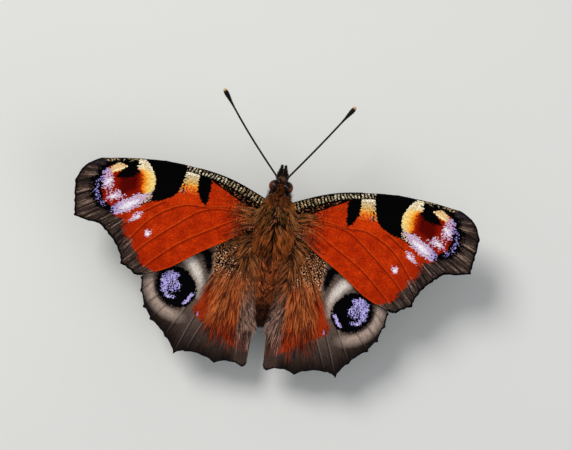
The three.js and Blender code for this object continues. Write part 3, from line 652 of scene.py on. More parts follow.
def hindwingLook():
    look, pen, shader = startLook("hindwing_scales", Specular_IOR_Level=0.01)
    flat, cell, d, gaps = scaleCells(pen, -60)
    fromMargin, fromFront, fromVein = parts(pen, "wingPlace", 3)
    across, along = parts(pen, "wingStreet", 2)
    x, y = nudged(flat, cell, 0.12)
    c = SimpleNamespace(**hindwingTones)
    streak = noise(joined(across * 8.0, along * 6.0), 1.0, 3)
    # brown, darker towards the margin and streaked along the veins
    brown = tones(fromMargin + (streak - 0.5) * 1.6,
                  [(0.2, c.dark), (1.0, c.umber), (3.2, c.brown), (6.0, c.grey)])
    brown = over(brown, c.fawn, ramp(streak, 0.62, 0.8) * ramp(fromMargin, 1.5, 4.0) * 0.3)
    # painted shade on the lower side of each vein ridge and a painted highlight on its upper side
    below = across.calc("FRACT")
    brown = over(brown, c.dark, ramp(fromVein, 0.34, 0.08) * (below < 0.5) * 0.65)
    ridge = ramp(fromVein, 0.3, 0.08) * (below > 0.5) * ramp(across, 6.9, 5.9) * ramp(fromMargin, 0.3, 3.0)
    brown = over(brown, c.fawn, ridge * 0.2)
    # the rust field
    field = curve(y, hindwingField) - x
    red = tones(streak + (d[1] - 0.5) * 0.15, [(0.35, c.deep), (0.5, c.rust), (0.66, c.scarlet)])
    colour = over(brown, red, ragged((field + (streak - 0.5) * 1.2) * 0.7, 0.5, d[2]))
    colour = over(colour, c.lilac, ragged(oval(cell, (9.7, -15.6), (0.1, 0.26), 15), 0.3, d[1]) * 0.7)
    inner = over(c.pink, tone(66, 50, 44), ramp(y + (streak - 0.5) * 3.0, -15.5, -18.0))
    colour = over(colour, inner, ramp(x + (y + 12) * 0.05 + (streak - 0.5) * 1.2, 3.5, 2.6) * 0.85)
    # the base, where black scales stand among tan ones
    base = ramp(y + (x - 5.5).calc("ABSOLUTE") * -0.2, -11.6, -7.6) * ramp(x, 8.9, 8.2)
    sand = over(tone(204, 108, 58), c.tan, ramp(y + (d[2] - 0.5) * 1.5, -10.4, -7.8))
    colour = over(colour, over(c.tawny, sand, d[1] > 0.5), (base * 1.2) > d[0])
    colour = over(colour, c.black, (noise(flat, 0.25, 1) + base * 0.3) > 0.755)
    # grey between the black patch and the eyespot, then the patch and the cream crescent
    halo = stroke(cell, [(10.6, -6.2, 1.0), (9.9, -7.6, 1.5), (9.6, -9.4, 1.1), (9.7, -11.5, 0.7),
                         (10.2, -13.4, 0.5)])
    colour = over(colour, c.grey, soft(halo - 0.1, 0.8) * 0.9)
    patch = stroke(cell, [(10.3, -5.9, 0.6), (9.5, -6.3, 0.78), (9.3, -7.2, 0.75), (9.1, -8.1, 0.55),
                          (8.95, -9.0, 0.25)])
    colour = over(colour, c.black, soft(patch + (d[2] - 0.5) * 0.4, 0.5))
    pale = stroke(cell, [(12.3, -7.4, 0.72), (11.3, -8.45, 0.7), (10.75, -9.25, 0.62), (10.25, -10.15, 0.52),
                         (9.95, -11.0, 0.44), (9.95, -11.9, 0.3), (10.15, -12.9, 0.12)])
    tail = over(c.fawn, c.cream, ramp(y, -11.6, -9.6))
    colour = over(colour, tail, soft(pale + (streak - 0.5) * 0.5 + (d[2] - 0.5) * 0.2, 0.9))
    # the taupe ring and the eyespot
    eye = oval(cell, (13.5, -11.95), (3.35, 2.85), 45)
    outwards = ramp((x - 13.5) * 0.8 - (y + 12) * 0.6, 0.6, 2.6)
    ring = ramp(eye, -0.2, -0.7) * ramp(eye, -2.5, -1.1) * outwards
    colour = over(colour, c.taupe, ring * ramp(streak, 0.0, 0.45) * (1 - ramp(fromVein, 0.22, 0.08) * 0.4))
    colour = over(colour, c.black, ragged(eye, 0.3, d[2]))
    glints = stroke(cell, [(13.6, -10.2, 0.3), (14.5, -10.3, 0.72), (15.3, -10.8, 0.72), (15.4, -11.8, 0.55),
                           (15.3, -12.7, 0.45), (14.7, -13.45, 0.36), (13.6, -13.6, 0.24)])
    cluster = stroke(cell, [(13.8, -11.0, 0.5), (13.1, -11.6, 0.35), (13.0, -12.1, 0.2)]) - 0.12
    blue = over(c.lilac, c.violet, d[0] > 0.6)
    blue = over(blue, c.cream, (d[2] > 0.88) * 0.6)
    inGlint = least(most(glints, cluster) / 0.5 + 0.5, 0.84)
    inGlint = most(inGlint, soft(oval(cell, (14.2, -11.7), (1.3, 1.5)), 1.2) * 0.6)
    colour = over(colour, blue, inGlint > (d[1] * 0.6 + noise(flat, 0.2, 1) * 1.4 - 0.35))
    slip = stroke(cell, [(10.7, -12.5, 0.1), (11.2, -13.1, 0.22), (11.65, -13.9, 0.24), (12.1, -14.4, 0.12)])
    colour = over(colour, c.violet, ragged(slip, 0.22, d[1]))
    colour = over(colour, c.rim, ragged(0.26 - fromMargin, 0.2, d[0]))
    finishWingLook(shader, colour, d, gaps)
    return look


def undersideLook():
    look, pen, shader = startLook("wing_underside", Specular_IOR_Level=0.1)
    flat, cell, d, gaps = scaleCells(pen, -30)
    fromMargin, fromFront, fromVein = parts(pen, "wingPlace", 3)
    waves = noise(stretched(flat, -0.35, (2.2, 0.35)), 0.9, 4)
    colour = blend((36, 28, 25), (9, 7, 8), ramp(waves, 0.46, 0.56))
    colour = over(colour, tone(62, 48, 40), ramp(noise(flat, 7.0, 2), 0.5, 0.75) * 0.55)
    band = ramp((fromMargin - 3.4).calc("ABSOLUTE"), 1.3, 0.2) * ramp(waves, 0.6, 0.45)
    colour = over(colour, tone(74, 61, 54), band * 0.6)
    colour = over(colour, tone(90, 66, 46), ramp(fromVein, 0.2, 0.06) * 0.45)
    colour = over(colour, tone(132, 120, 102), (ramp(fromFront, 0.7, 0.2) * 0.3) > d[2])
    colour = over(colour, tone(8, 7, 8), ramp(fromMargin, 0.4, 0.2) * 0.8)
    finishWingLook(shader, colour, d, gaps)
    return look


wingCut = {"columns": 12, "rows": 72, "thick": 0.15, "veinHigh": 0.07, "veinWide": 0.17, "pleat": 0.05,
           "crinkle": 0.045}


def makeWing(wing, name, upper, lower):
    strips, rows, n = len(wing["lines"]) - 1, wingCut["rows"], wingCut["columns"]
    pick(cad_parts["head"])
    bpy.ops.mesh.primitive_grid_add(x_subdivisions=strips * n, y_subdivisions=rows, size=2)
    piece = bpy.context.object
    flat = placesOf(piece)
    column = np.rint((flat[:, 0] + 1) / 2 * strips * n)
    row = np.rint((flat[:, 1] + 1) / 2 * rows).astype(int)
    along = row / rows
    strip = np.minimum((column // n).astype(int), strips - 1)
    lines = wingLines(wing, np.linspace(0, 1, rows + 1))
    apart = np.linalg.norm(lines[strip, row] - lines[strip + 1, row], axis=1)
    # the columns next to a vein stay close to it, so that it stands out as a thin ridge
    slots = (column - strip * n).astype(int)
    close = np.minimum(wingCut["veinWide"] / apart, 0.2)
    inner = close + (1 - 2 * close) * (slots - 2) / (n - 4)
    t = np.select([slots == 0, slots == 1, slots == n - 1, slots == n], [0, close / 2, 1 - close / 2, 1],
                  inner)
    inside = strip + np.minimum(t, 0.99999)
    plan = wingPoint(wing, lines, inside, along)
    crinkle = np.sin((strip + t) * 12.6 + 1) + 0.8 * np.sin((strip + t) * 19.3)
    crinkle = wingCut["crinkle"] * crinkle * np.clip(along * 25 - 24, 0, 1)
    plan += unit(plan - wingPoint(wing, lines, inside, np.maximum(along - 0.02, 0)) + 1e-9) * crinkle[:, None]
    begins = np.array([line[0] for line in wing["lines"]])
    starts = [np.where(begins[k] == 0, 1, smoothStep(begins[k] - 0.06, begins[k] + 0.02, along))
              for k in (strip, strip + 1)]
    fromVein = np.minimum(t * apart + 9 * (1 - starts[0]), (1 - t) * apart + 9 * (1 - starts[1]))
    ridge = wingCut["veinHigh"] * (1 - 0.45 * along) * np.clip(1 - fromVein / wingCut["veinWide"], 0, 1)
    pleat = wingCut["pleat"] * np.sin(math.pi * t) * np.where(strip % 2, 1, -1) * np.clip(along * 3, 0, 1)
    setPlaces(piece, np.column_stack([plan, wingHeight(wing, plan[:, 0], plan[:, 1]) + ridge + pleat]))
    # the margin behind the front edge's veins is the outer one
    last = row == rows
    order = np.argsort(column[last])
    onMargin, onFront = plan[last][order], column[last][order] - wing["frontStrips"] * n
    edges = onMargin[onFront >= 0], np.concatenate([plan[column == 0], onMargin[onFront <= 0]])
    away = [np.min(np.linalg.norm(plan[:, None] - edge[None], axis=2), axis=1) for edge in edges]
    addAttribute(piece, "wingPlace", np.column_stack([*away, np.minimum(fromVein, 3)]))
    addAttribute(piece, "wingStreet", np.column_stack([strip + t, along, 0 * along]))
    piece.data.materials.append(upper)
    piece.data.materials.append(lower)
    modify(piece, "SOLIDIFY", thickness=wingCut["thick"], offset=0, material_offset=1, material_offset_rim=0)
    right = finishPiece(piece, name + "_right_skin", None, [name + "_right"])
    mirrorCopy(right, name + "_left_skin", [name + "_left"])


undersideScales = undersideLook()
makeWing(forewing, "forewing", forewingLook(), undersideScales)
makeWing(hindwing, "hindwing", hindwingLook(), undersideScales)


def meshOf(name, places, quads, triangles):
    mesh = bpy.data.meshes.new(name)
    corners = np.concatenate([quads.ravel(), triangles.ravel()])
    sizes = np.concatenate([np.full(len(quads), 4), np.full(len(triangles), 3)])
    mesh.vertices.add(len(places))
    mesh.vertices.foreach_set("co", places.ravel())
    mesh.loops.add(len(corners))
    mesh.loops.foreach_set("vertex_index", corners)
    mesh.polygons.add(len(sizes))
    mesh.polygons.foreach_set("loop_start", np.concatenate([[0], np.cumsum(sizes)[:-1]]))
    mesh.update(calc_edges=True)
    piece = bpy.data.objects.new(name, mesh)
    bpy.context.collection.objects.link(piece)
    return piece, corners


plainHair = ((-0.06, 0.8, -0.2), (0.3, 1, 0.6), (0.68, 0.7, 1.0), (1, 0, 0.85))
longHair = ((-0.04, 0.8, -0.2), (0.25, 1, 0.55), (0.5, 0.85, 0.95), (0.78, 0.5, 1.0), (1, 0, 0.8))


def growHair(name, roots, look, profile=plainHair):
    # every hair is a closed blade with three sides, and the profile is a share of its length, width and lift
    at, normal, lie = roots["at"], unit(roots["normal"]), unit(roots["lie"])
    side = unit(np.cross(lie, normal))
    count, rings = len(at), len(profile) - 1
    length, width, lift = (roots[k][:, None] for k in ("length", "width", "lift"))
    sway = roots.get("sway", drawn.normal(0, 0.1, count))[:, None]
    places, shares, unwraps = [], [], []
    for k, (share, wide, rise) in enumerate(profile):
        centre = at + lie * length * share + normal * lift * rise + side * length * sway * share**2
        for a, b in [(-1, -0.3), (1, -0.3), (0, 0.5)] if k < rings else [(0, 0)]:
            places.append(centre + side * width * wide * a / 2 + normal * width * wide * b / 2)
            shares.append(np.full(count, max(share, 0)))
            unwraps.append(roots["unwrap"] + np.array([a * 0.0012, (share - 0.5) * 0.0026]))
    per, last = 3 * rings + 1, 3 * rings - 3
    quads = [(3 * k + a, 3 * k + (a + 1) % 3, 3 * k + 3 + (a + 1) % 3, 3 * k + 3 + a)
             for k in range(rings - 1) for a in range(3)]
    triangles = [(last + a, last + (a + 1) % 3, per - 1) for a in range(3)] + [(2, 1, 0)]
    steps = np.arange(count)[:, None, None] * per
    quads, triangles = ((np.array(faces) + steps).reshape(-1, len(faces[0])) for faces in (quads, triangles))
    piece, corners = meshOf(name, np.stack(places, 1).reshape(-1, 3), quads, triangles)
    unwraps = np.clip(np.stack(unwraps, 1).reshape(-1, 2), 0, 1)
    layer = piece.data.uv_layers.new(name="OFBake")
    layer.data.foreach_set("uv", unwraps[corners].astype(np.float32).ravel())
    addAttribute(piece, "rootPlace", np.repeat(at, per, axis=0))
    tuft = [np.stack(shares, 1).ravel(), np.repeat(roots["tint"], per), np.repeat(roots["kind"], per)]
    addAttribute(piece, "tuft", np.column_stack(tuft))
    return finishPiece(piece, name, [look])


def clumped(roots, fur):
    # draws the tips of neighbouring hairs together and gives each tuft so made a tint of its own
    count, (each, pull) = len(roots["at"]), fur["tuft"]
    guides = drawn.choice(count, max(1, count // each), replace=False)
    tree = KDTree(len(guides))
    for guide in guides:
        tree.insert(roots["at"][guide], guide)
    tree.balance()
    nearest = np.array([tree.find(spot)[1] for spot in roots["at"]])
    tips = roots["at"] + unit(roots["lie"]) * roots["length"][:, None]
    tips += (tips[nearest] - tips) * pull * drawn.uniform(0.6, 1.1, count)[:, None]
    away = tips - roots["at"]
    sway = drawn.normal(0, 0.07, count)
    return {
        **roots, "lie": away, "length": np.linalg.norm(away, axis=1),
        "lift": (roots["lift"] + roots["lift"][nearest]) / 2,
        "tint": roots["tint"] * 0.25 + roots["tint"][nearest] * 0.75,
        "sway": sway * 0.3 + sway[nearest] * 0.7,
    }


def bodySkin(y, angle):
    middle, wide, high = sectionAt(bodySections, y)
    at = stacked(wide * np.sin(angle), y, middle + high * np.cos(angle))
    return at, unit(stacked(np.sin(angle) / wide, 0, np.cos(angle) / high))


def unwrapAt(u, v):
    # a place in the unit square, a little inside its border
    return np.stack([0.01 + 0.98 * u, 0.01 + 0.98 * v], 1)


def stacked(*values):
    # vectors from numbers and arrays of numbers
    return np.stack(np.broadcast_arrays(*values), 1)


def keep(roots, mask):
    return {name: values[mask] for name, values in roots.items()}


def spreads(fur, count):
    # each of these has a middle value and a share of spread
    return {name: fur[name][0] * (1 + fur[name][1] * drawn.uniform(-1, 1, count))
            for name in ("length", "width", "lift")}


def bodyHair(fur):
    # the fur's run is where along the body it grows, its turn where round it,
    # and its lie how far out, back and up it leans
    count, (low, high), (out, back, up, spread) = fur["hairs"], fur["run"], fur["lie"]
    side = drawn.choice([-1, 1], count) if fur.get("sided") else 1
    y = low + (high - low) * drawn.uniform(0, 1, count) ** fur.get("crowd", 1)
    angle = side * drawn.uniform(*fur.get("turn", (-math.pi, math.pi)), count)
    kind = drawn.uniform(0, 1, count) ** 0.7 if fur.get("pale") else np.zeros(count)
    at, normal = bodySkin(y, angle)
    sideways = stacked(np.cos(angle), 0, -np.sin(angle)) * np.sign(angle)[:, None]
    lie = unit(sideways * out + (0, -back, 0) + normal * up + drawn.normal(0, spread, (count, 3)))
    return {
        "at": at - normal * 0.1, "normal": normal, "lie": lie, "turn": angle, "kind": kind,
        **spreads(fur, count),
        "unwrap": unwrapAt((angle / (2 * math.pi) + 0.5) % 1, (y + 16) / 23),
        "tint": drawn.uniform(0, 1, count),
    }


def together(*groups):
    return {name: np.concatenate([group[name] for group in groups]) for name in groups[0]}


def bodyColour(place, grain):
    # the markings that the skin and the coat share
    x, y, z = place.part(0).calc("ABSOLUTE"), place.part(1), place.part(2)
    blur = (grain - 0.5) * 0.8
    disc = oval(joined(x, y), (0, 1.1), (1.7, 2.1)) * -0.54
    olive = blend((20, 12, 5), (132, 86, 38), grain)
    colour = blend((20, 9, 4), (208, 112, 48), grain)
    colour = over(olive, colour, ramp(disc + blur * 0.3, -0.2, 0.05))
    border = ramp((disc - 0.1).calc("ABSOLUTE"), 0.14, 0.06) * ramp(y, -0.4, 0.8)
    colour = over(colour, tone(22, 13, 8), border * 0.5)
    ridge = ramp((x - ramp(y, 0.0, -1.0) * 0.5).calc("ABSOLUTE"), 0.45, 0.15) * ramp(y, -1.2, -0.4)
    colour = over(colour, tone(186, 114, 74), ridge * ramp(grain, 0.1, 0.6) * 0.85)
    for spot, radii in [((0.25, -3.3), (0.7, 0.4)), ((-0.2, -5.3), (0.8, 0.5)), ((0.9, -2.3), (0.5, 0.3)),
                        ((-1.0, -2.7), (0.5, 0.35))]:
        colour = over(colour, tone(16, 10, 7), soft(oval(place, spot, radii), 0.4) * ramp(z, 5.5, 6.5) * 0.8)
    collar = over(tone(22, 10, 5), blend((130, 68, 28), (206, 120, 50), ramp(x, 0.8, 1.3)), grain)
    colour = over(colour, collar, ramp(y + blur, 2.6, 3.5))
    head = blend((12, 6, 5), (124, 64, 30), grain)
    colour = over(colour, head, ramp(y, 4.3, 4.9))
    colour = over(colour, blend((18, 12, 11), (150, 108, 94), grain), ramp(y + blur * 0.4, 5.9, 6.3) * 0.75)
    colour = over(colour, tone(30, 25, 28), ramp(x, 1.0, 1.5) * ramp(y, 3.4, 4.2) * ramp(y, 5.2, 4.8) * 0.8)
    rust = blend((17, 8, 5), (208, 108, 54), grain)
    rust = over(rust, tone(26, 13, 8), ramp(x, 0.5, 0.15) * 0.6)
    bands = ((y + 3.6) * 3.9).calc("SINE")
    rust = over(rust, tone(30, 15, 8), ramp(bands + blur, 0.2, 0.9) * 0.35)
    colour = over(colour, rust, ramp(y + blur * 1.6, -2.2, -4.2))
    dark = ramp(y + blur, -8.9, -10.4) * ramp(x + blur * 0.5, 1.1, 0.5)
    colour = over(colour, tone(14, 10, 9), most(dark, ramp(y + blur, -10.2, -12.2)) * (1 - grain * 0.22))
    return over(colour, blend((28, 21, 18), (70, 54, 44), grain), ramp(z - y * 0.1, 6.6, 5.8))


def coatLook(name, colourOf):
    look, pen, shader = startLook(name, Specular_IOR_Level=0.1)
    place = pen.node("Attribute", {"attribute_name": "rootPlace"}, {}, 1)
    share, tint, kind = parts(pen, "tuft", 3)
    grain = ramp(tint + noise(place, 0.7, 2) * 0.4 - 0.2, 0.32, 0.68)
    # each hair is painted darker towards its root and brighter towards its tip: painted shade deep in the
    # coat and a painted highlight on the tips
    feed(shader, "Base Color", shade(colourOf(place, grain, kind), share * 1.35 + 0.22))
    feed(shader, "Roughness", tint * 0.2 + 0.5)
    return look


def bodyCoatColour(place, grain, kind):
    # the kind is up to 1 for the pale tufts of the shoulders and 0 for most other hair
    return over(bodyColour(place, grain), blend((46, 23, 11), (228, 156, 90), grain), kind)


bodyCoat = coatLook("body_hair", bodyCoatColour)

thoraxFur = {"hairs": 8600, "run": (-3.4, 3.6), "lie": (0.36, 1.0, 0.1, 0.1), "length": (1.7, 0.35),
             "width": (0.09, 0.35), "lift": (0.36, 0.5), "tuft": (3, 0.35)}
thoraxHair = bodyHair(thoraxFur)
onDisc = 1 - np.hypot(thoraxHair["at"][:, 0] / 1.8, (thoraxHair["at"][:, 1] - 1.4) / 2.2)
onTop = np.interp(onDisc, [-0.1, 0.2], [1.15, 0.45])
thoraxHair["length"] *= np.where(thoraxHair["at"][:, 2] > 7.5, onTop, 0.8)
growHair("thorax_coat", clumped(thoraxHair, thoraxFur), bodyCoat)

fanFur = {"hairs": 1500, "run": (-3.3, -0.4), "turn": (0.2, 1.3), "sided": True,
          "lie": (0.34, 1.0, 0.1, 0.16),
          "length": (2.4, 0.35), "width": (0.085, 0.3), "lift": (0.5, 0.4)}
shoulderFur = {"hairs": 1900, "run": (0.2, 2.9), "turn": (0.75, 1.3), "sided": True, "pale": True,
               "lie": (0.7, 0.9, 0.1, 0.3), "length": (2.1, 0.35), "width": (0.075, 0.3), "lift": (0.35, 0.5),
               "tuft": (3, 0.35)}
shoulderHair = clumped(together(bodyHair(fanFur), bodyHair(shoulderFur)), shoulderFur)
growHair("shoulder_coat", shoulderHair, bodyCoat, longHair)

collarFur = {"hairs": 4200, "run": (2.7, 4.3), "lie": (0.75, 0.7, 0.4, 0.25), "length": (1.1, 0.35),
             "width": (0.08, 0.3), "lift": (0.3, 0.4), "tuft": (3, 0.35)}
collarHair = bodyHair(collarFur)
collarHair["length"] *= np.interp(np.abs(collarHair["at"][:, 0]), [0.5, 1.4], [0.5, 1.2])
growHair("collar_coat", clumped(collarHair, collarFur), bodyCoat)

abdomenFur = {"hairs": 9800, "run": (-3.7, -15.4), "crowd": 1.1, "lie": (0.0, 1.0, 0.12, 0.045),
              "length": (1.75, 0.3), "width": (0.075, 0.35), "lift": (0.26, 0.5), "tuft": (3, 0.15)}
abdomenHair = bodyHair(abdomenFur)
abdomenY, rise, aside = abdomenHair["at"][:, 1], np.cos(abdomenHair["turn"]), np.sin(abdomenHair["turn"])
# hair on the back of the abdomen leans towards the middle line
lean = np.interp(abdomenY, [-6.5, -4.5], [1.0, -0.3])
lean = lean * np.clip(rise * 2 + 0.6, 0, 1) * np.clip(aside * 2.2, -1, 1)
abdomenHair["lie"] = unit(abdomenHair["lie"] - lean[:, None] * stacked(rise, 0, -aside))
shorter = np.interp(abdomenY, [-15.4, -13.5, -11, -3], [0.4, 0.7, 0.9, 1])
abdomenHair["length"] *= shorter
abdomenHair["lift"] *= shorter
growHair("abdomen_coat", clumped(abdomenHair, abdomenFur), bodyCoat)
print("body coat grown")

skinCut = {"voxel": 0.11, "inset": 0.1, "front": 4.35, "length": 19.95,
           "segment": 1.61, "groove": 0.07, "grooves": (-15, -4.4), "first": -4.9, "sharp": 0.006}
headForm = {"place": (0, 5.5, 8.15), "radii": (0.82, 1.1, 1.1)}
neckForm = {"vertices": 24, "radius1": 0.8, "radius2": 0.7, "depth": 1.4, "location": (0, 4.6, 7.9),
            "rotation": (math.radians(-90), 0, 0)}


def bodyLook():
    look, pen, shader = startLook("body_skin", Specular_IOR_Level=0.1)
    place = bodyPlace(pen)
    grain = noise(place, 0.16, 4)
    colour = bodyColour(place, ramp(grain, 0.3, 0.7))
    feed(shader, "Base Color", shade(colour, grain * 0.4 + 0.5))
    feed(shader, "Roughness", grain * 0.3 + 0.5)
    roughen(shader, grain, 0.6, 0.00006)
    return look


def addBall(segments, rings, place=(0, 0, 0), radii=(1, 1, 1), turn=0.0):
    pick(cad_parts["head"])
    bpy.ops.mesh.primitive_uv_sphere_add(segments=segments, ring_count=rings, radius=1, location=place,
                                         rotation=(0, turn, 0), scale=radii)
    bpy.ops.object.transform_apply(location=True, rotation=True, scale=True)
    return bpy.context.object


def faceOutwards(piece, before=None):
    pick(piece)
    bpy.ops.object.mode_set(mode="EDIT")
    bpy.ops.mesh.select_all(action="SELECT")
    if before:
        before()
    bpy.ops.mesh.normals_make_consistent(inside=False)
    bpy.ops.object.mode_set(mode="OBJECT")


def makeBody():
    trunk = addBall(48, 120)
    ball = placesOf(trunk)
    angle = np.arctan2(ball[:, 0], ball[:, 1])
    share = np.arccos(np.clip(ball[:, 2], -1, 1)) / math.pi
    y = skinCut["front"] - skinCut["length"] * share
    middle, wide, high = sectionAt(bodySections, y)
    closed = np.sqrt(np.maximum(0, 1 - (2 * share - 1) ** 20))
    offGroove = ((y - skinCut["first"]) / skinCut["segment"] + 0.5) % 1 - 0.5
    last, first = skinCut["grooves"]
    groove = np.exp(-offGroove ** 2 / skinCut["sharp"]) * (y > last) * (y < first)
    inset = skinCut["inset"] + skinCut["groove"] * groove
    wide, high = (np.maximum((size - inset) * closed, 0.001) for size in (wide, high))
    setPlaces(trunk, stacked(wide * np.sin(angle), y, middle + high * np.cos(angle)))
    skull = addBall(40, 28, headForm["place"], headForm["radii"])
    bpy.ops.mesh.primitive_cone_add(**neckForm)
    neck = bpy.context.object
    bpy.ops.object.transform_apply(location=True, rotation=True, scale=True)
    whole = joinAll([trunk, skull, neck])
    faceOutwards(whole)
    modify(whole, "REMESH", mode="VOXEL", voxel_size=skinCut["voxel"])
    modify(whole, "SMOOTH", factor=0.5, iterations=4)
    finishPiece(whole, "body_skin", [bodyLook()], ["thorax", "abdomen", "head"])


makeBody()


def stationsAt(stations, spacing):
    # stations of x, y, z and radius, smoothed round the bends and set closer together
    points = np.array(stations, float)
    at = [0.0]
    for a, b in zip(points, points[1:]):
        at.append(at[-1] + math.dist(a[:3], b[:3]))
    fine = np.linspace(0, at[-1], max(4, round(at[-1] / spacing)))
    made = np.stack([np.interp(fine, at, points[:, k]) for k in range(4)], 1)
    for _ in range(2):
        made[1:-1] = (made[:-2] + 2 * made[1:-1] + made[2:]) / 4
    return made


def tubeAlong(stations, sides=4):
    pick(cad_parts["head"])
    bpy.ops.curve.primitive_nurbs_path_add()
    piece = bpy.context.object
    line = piece.data
    line.splines.clear()
    spline = line.splines.new("POLY")
    spline.points.add(len(stations) - 1)
    for point, (x, y, z, radius) in zip(spline.points, stations):
        point.co = (x, y, z, 1)
        point.radius = radius
    line.bevel_depth, line.bevel_resolution, line.use_fill_caps = 1.0, sides, True
    bpy.ops.object.convert(target="MESH")
    piece = bpy.context.object
    faceOutwards(piece, lambda: bpy.ops.mesh.remove_doubles(threshold=0.0005))
    return piece


def limbHair(stations, fur, sign=1):
    # hair round a limb, between two shares of its length, which leans away from the limb by lean
    count = fur["hairs"]
    fine = stationsAt(stations, 0.15)
    run = np.linspace(0, 1, len(fine))
    share = drawn.uniform(*fur["run"], count)
    angle = drawn.uniform(-math.pi, math.pi, count)
    at, after, before = (stacked(*[np.interp(np.clip(share + step, 0, 1), run, fine[:, k]) for k in range(4)])
                         for step in (0, 0.02, -0.02))
    along = unit(after[:, :3] - before[:, :3])
    side = unit(np.cross(along, (0.13, 0.21, 1.0)))
    normal = side * np.cos(angle)[:, None] + np.cross(side, along) * np.sin(angle)[:, None]
    lie = unit(along + normal * fur["lean"] + drawn.normal(0, fur["spread"], (count, 3)))
    flip = (sign, 1, 1)
    return {
        "at": (at[:, :3] + normal * at[:, 3:] * 0.8) * flip, "normal": normal * flip, "lie": lie * flip,
        "length": fur["length"] * drawn.uniform(0.6, 1.25, count),
        "width": fur["width"] * drawn.uniform(0.7, 1.2, count),
        "lift": fur["lift"] * drawn.uniform(0.5, 1.4, count), "tint": drawn.uniform(0, 1, count),
        "unwrap": unwrapAt(share, angle / (2 * math.pi) + 0.5), "kind": share,
    }


eyeForm = {"place": (0.9, 5.5, 8.2), "radii": (0.97, 0.98, 0.98), "facet": 0.045}


def eyeLook():
    look, pen, shader = startLook("eye_facets", Coat_Roughness=0.2, Specular_IOR_Level=0.12)
    place = bodyPlace(pen)
    x, y, z = place.part(0).calc("ABSOLUTE"), place.part(1), place.part(2)
    cells = pen.node("TexVoronoi", {}, {"Vector": place, "Scale": 1 / eyeForm["facet"], "Randomness": 0.25})
    mottle = noise(place, 0.5, 3)
    colour = blend((46, 17, 5), (118, 50, 14), ramp(mottle, 0.42, 0.62))
    colour = over(colour, tone(9, 6, 6), ramp(x + (mottle - 0.5) * 0.6, 1.42, 1.16))
    # a dark spot high on the inner side of each eye, with a painted grey highlight at its middle
    pupil = joined(x, y, z).vector("DISTANCE", (0.98, 5.42, 9.16), out=1)
    colour = over(colour, tone(12, 8, 8), ramp(pupil, 0.42, 0.3))
    colour = over(colour, tone(120, 112, 122), ramp(pupil, 0.12, 0.05) * 0.7)
    feed(shader, "Base Color", shade(colour, 1.1 - cells * 0.5))
    feed(shader, "Roughness", mottle * 0.2 + 0.16)
    feed(shader, "Coat Weight", 0.1 - mottle * 0.06)
    roughen(shader, 1 - cells, 0.4, 0.00001)
    return look


def makeEyes():
    ball = addBall(56, 36, eyeForm["place"], eyeForm["radii"], math.radians(90))
    cut = {"plane_co": (0.15, 0, 0), "plane_no": (1, 0, 0), "clear_inner": True, "use_fill": True}
    faceOutwards(ball, lambda: bpy.ops.mesh.bisect(**cut))
    right = finishPiece(ball, "eye_right_facets", [eyeLook()], ["eye_right"])
    mirrorCopy(right, "eye_left_facets", ["eye_left"])


makeEyes()

feeler = {"base": (0.36, 5.95, 8.95), "knee": (0.62, 6.55, 9.35), "shaft": 0.15, "swell": 0.07, "rings": 43,
          "arch": 0.5, "socket": 0.2,
          "club": [(0, 1), (0.78, 1.0), (0.84, 1.3), (0.89, 1.95), (0.94, 2.5), (0.975, 2.2), (0.995, 1.2),
                   (1, 0.3)],
          # the tip and the outward bow, of which the left feeler has more
          "right": ((9.5, 18.75, 11.9), 0.2), "left": ((10.75, 18.62, 11.9), 0.42)}


def feelerLook():
    look, pen, shader = startLook("feeler_scales", Specular_IOR_Level=0.1)
    place = bodyPlace(pen)
    spot = pen.node("Attribute", {"attribute_name": "feelerShare"}, {}, 2)
    fine = noise(place, 0.07, 3)
    wave = (spot * (2 * math.pi * feeler["rings"])).calc("SINE")
    colour = blend((6, 5, 5), (24, 19, 16), ramp(fine, 0.45, 0.7))
    under = ramp(pen.node("NewGeometry", {}, {}, 1).part(2), -0.1, -0.6)
    rings = ramp(wave, 0.55, 0.85) * (under * 0.8 + 0.08) * ramp(spot, 0.8, 0.76)
    colour = over(colour, tone(188, 172, 146), rings)
    colour = over(colour, tone(214, 176, 120), ramp(spot + (fine - 0.5) * 0.03, 0.965, 0.985))
    feed(shader, "Base Color", colour)
    feed(shader, "Roughness", fine * 0.3 + 0.35)
    roughen(shader, fine, 0.4, 0.00001)
    return look


def makeFeeler(side, sign, look):
    base, knee, tip = Vector(feeler["base"]), Vector(feeler["knee"]), Vector(feeler[side][0])
    club = np.array(feeler["club"])
    stations = [(*base.lerp(knee, step), radius) for step, radius in ((0, 0.17), (0.4, 0.2), (0.75, 0.15))]
    shares = [0, 0.005, 0.01, *np.linspace(0, 1, 174)]
    for t in shares[3:]:
        bow = math.sin(math.pi * t)
        point = knee.lerp(tip, t) + Vector((feeler[side][1] * bow, 0, feeler["arch"] * bow))
        ringed = 1 + feeler["swell"] * math.sin(2 * math.pi * feeler["rings"] * t)
        stations.append((*point, feeler["shaft"] * np.interp(t, club[:, 0], club[:, 1]) * ringed))
    piece = tubeAlong(stations, 3)
    places = placesOf(piece)
    nearest = np.argmin(np.linalg.norm(places[:, None] - np.array(stations)[None, :, :3], axis=2), axis=1)
    addAttribute(piece, "feelerShare", np.array(shares)[nearest])
    pick(piece)
    bpy.ops.mesh.primitive_torus_add(
        location=base - Vector((0, 0.02, 0.02)), rotation=(math.radians(-35), math.radians(18), 0),
        major_radius=feeler["socket"], minor_radius=0.06, major_segments=24, minor_segments=8)
    socket = bpy.context.object
    addAttribute(socket, "feelerShare", np.zeros(len(socket.data.vertices)))
    piece = joinAll([piece, socket])
    if sign < 0:
        setPlaces(piece, placesOf(piece) * (-1, 1, 1))
        piece.data.flip_normals()
    finishPiece(piece, "feeler_" + side, [look], ["antenna_" + side])


feelerScales = feelerLook()
makeFeeler("right", 1, feelerScales)
makeFeeler("left", -1, feelerScales)

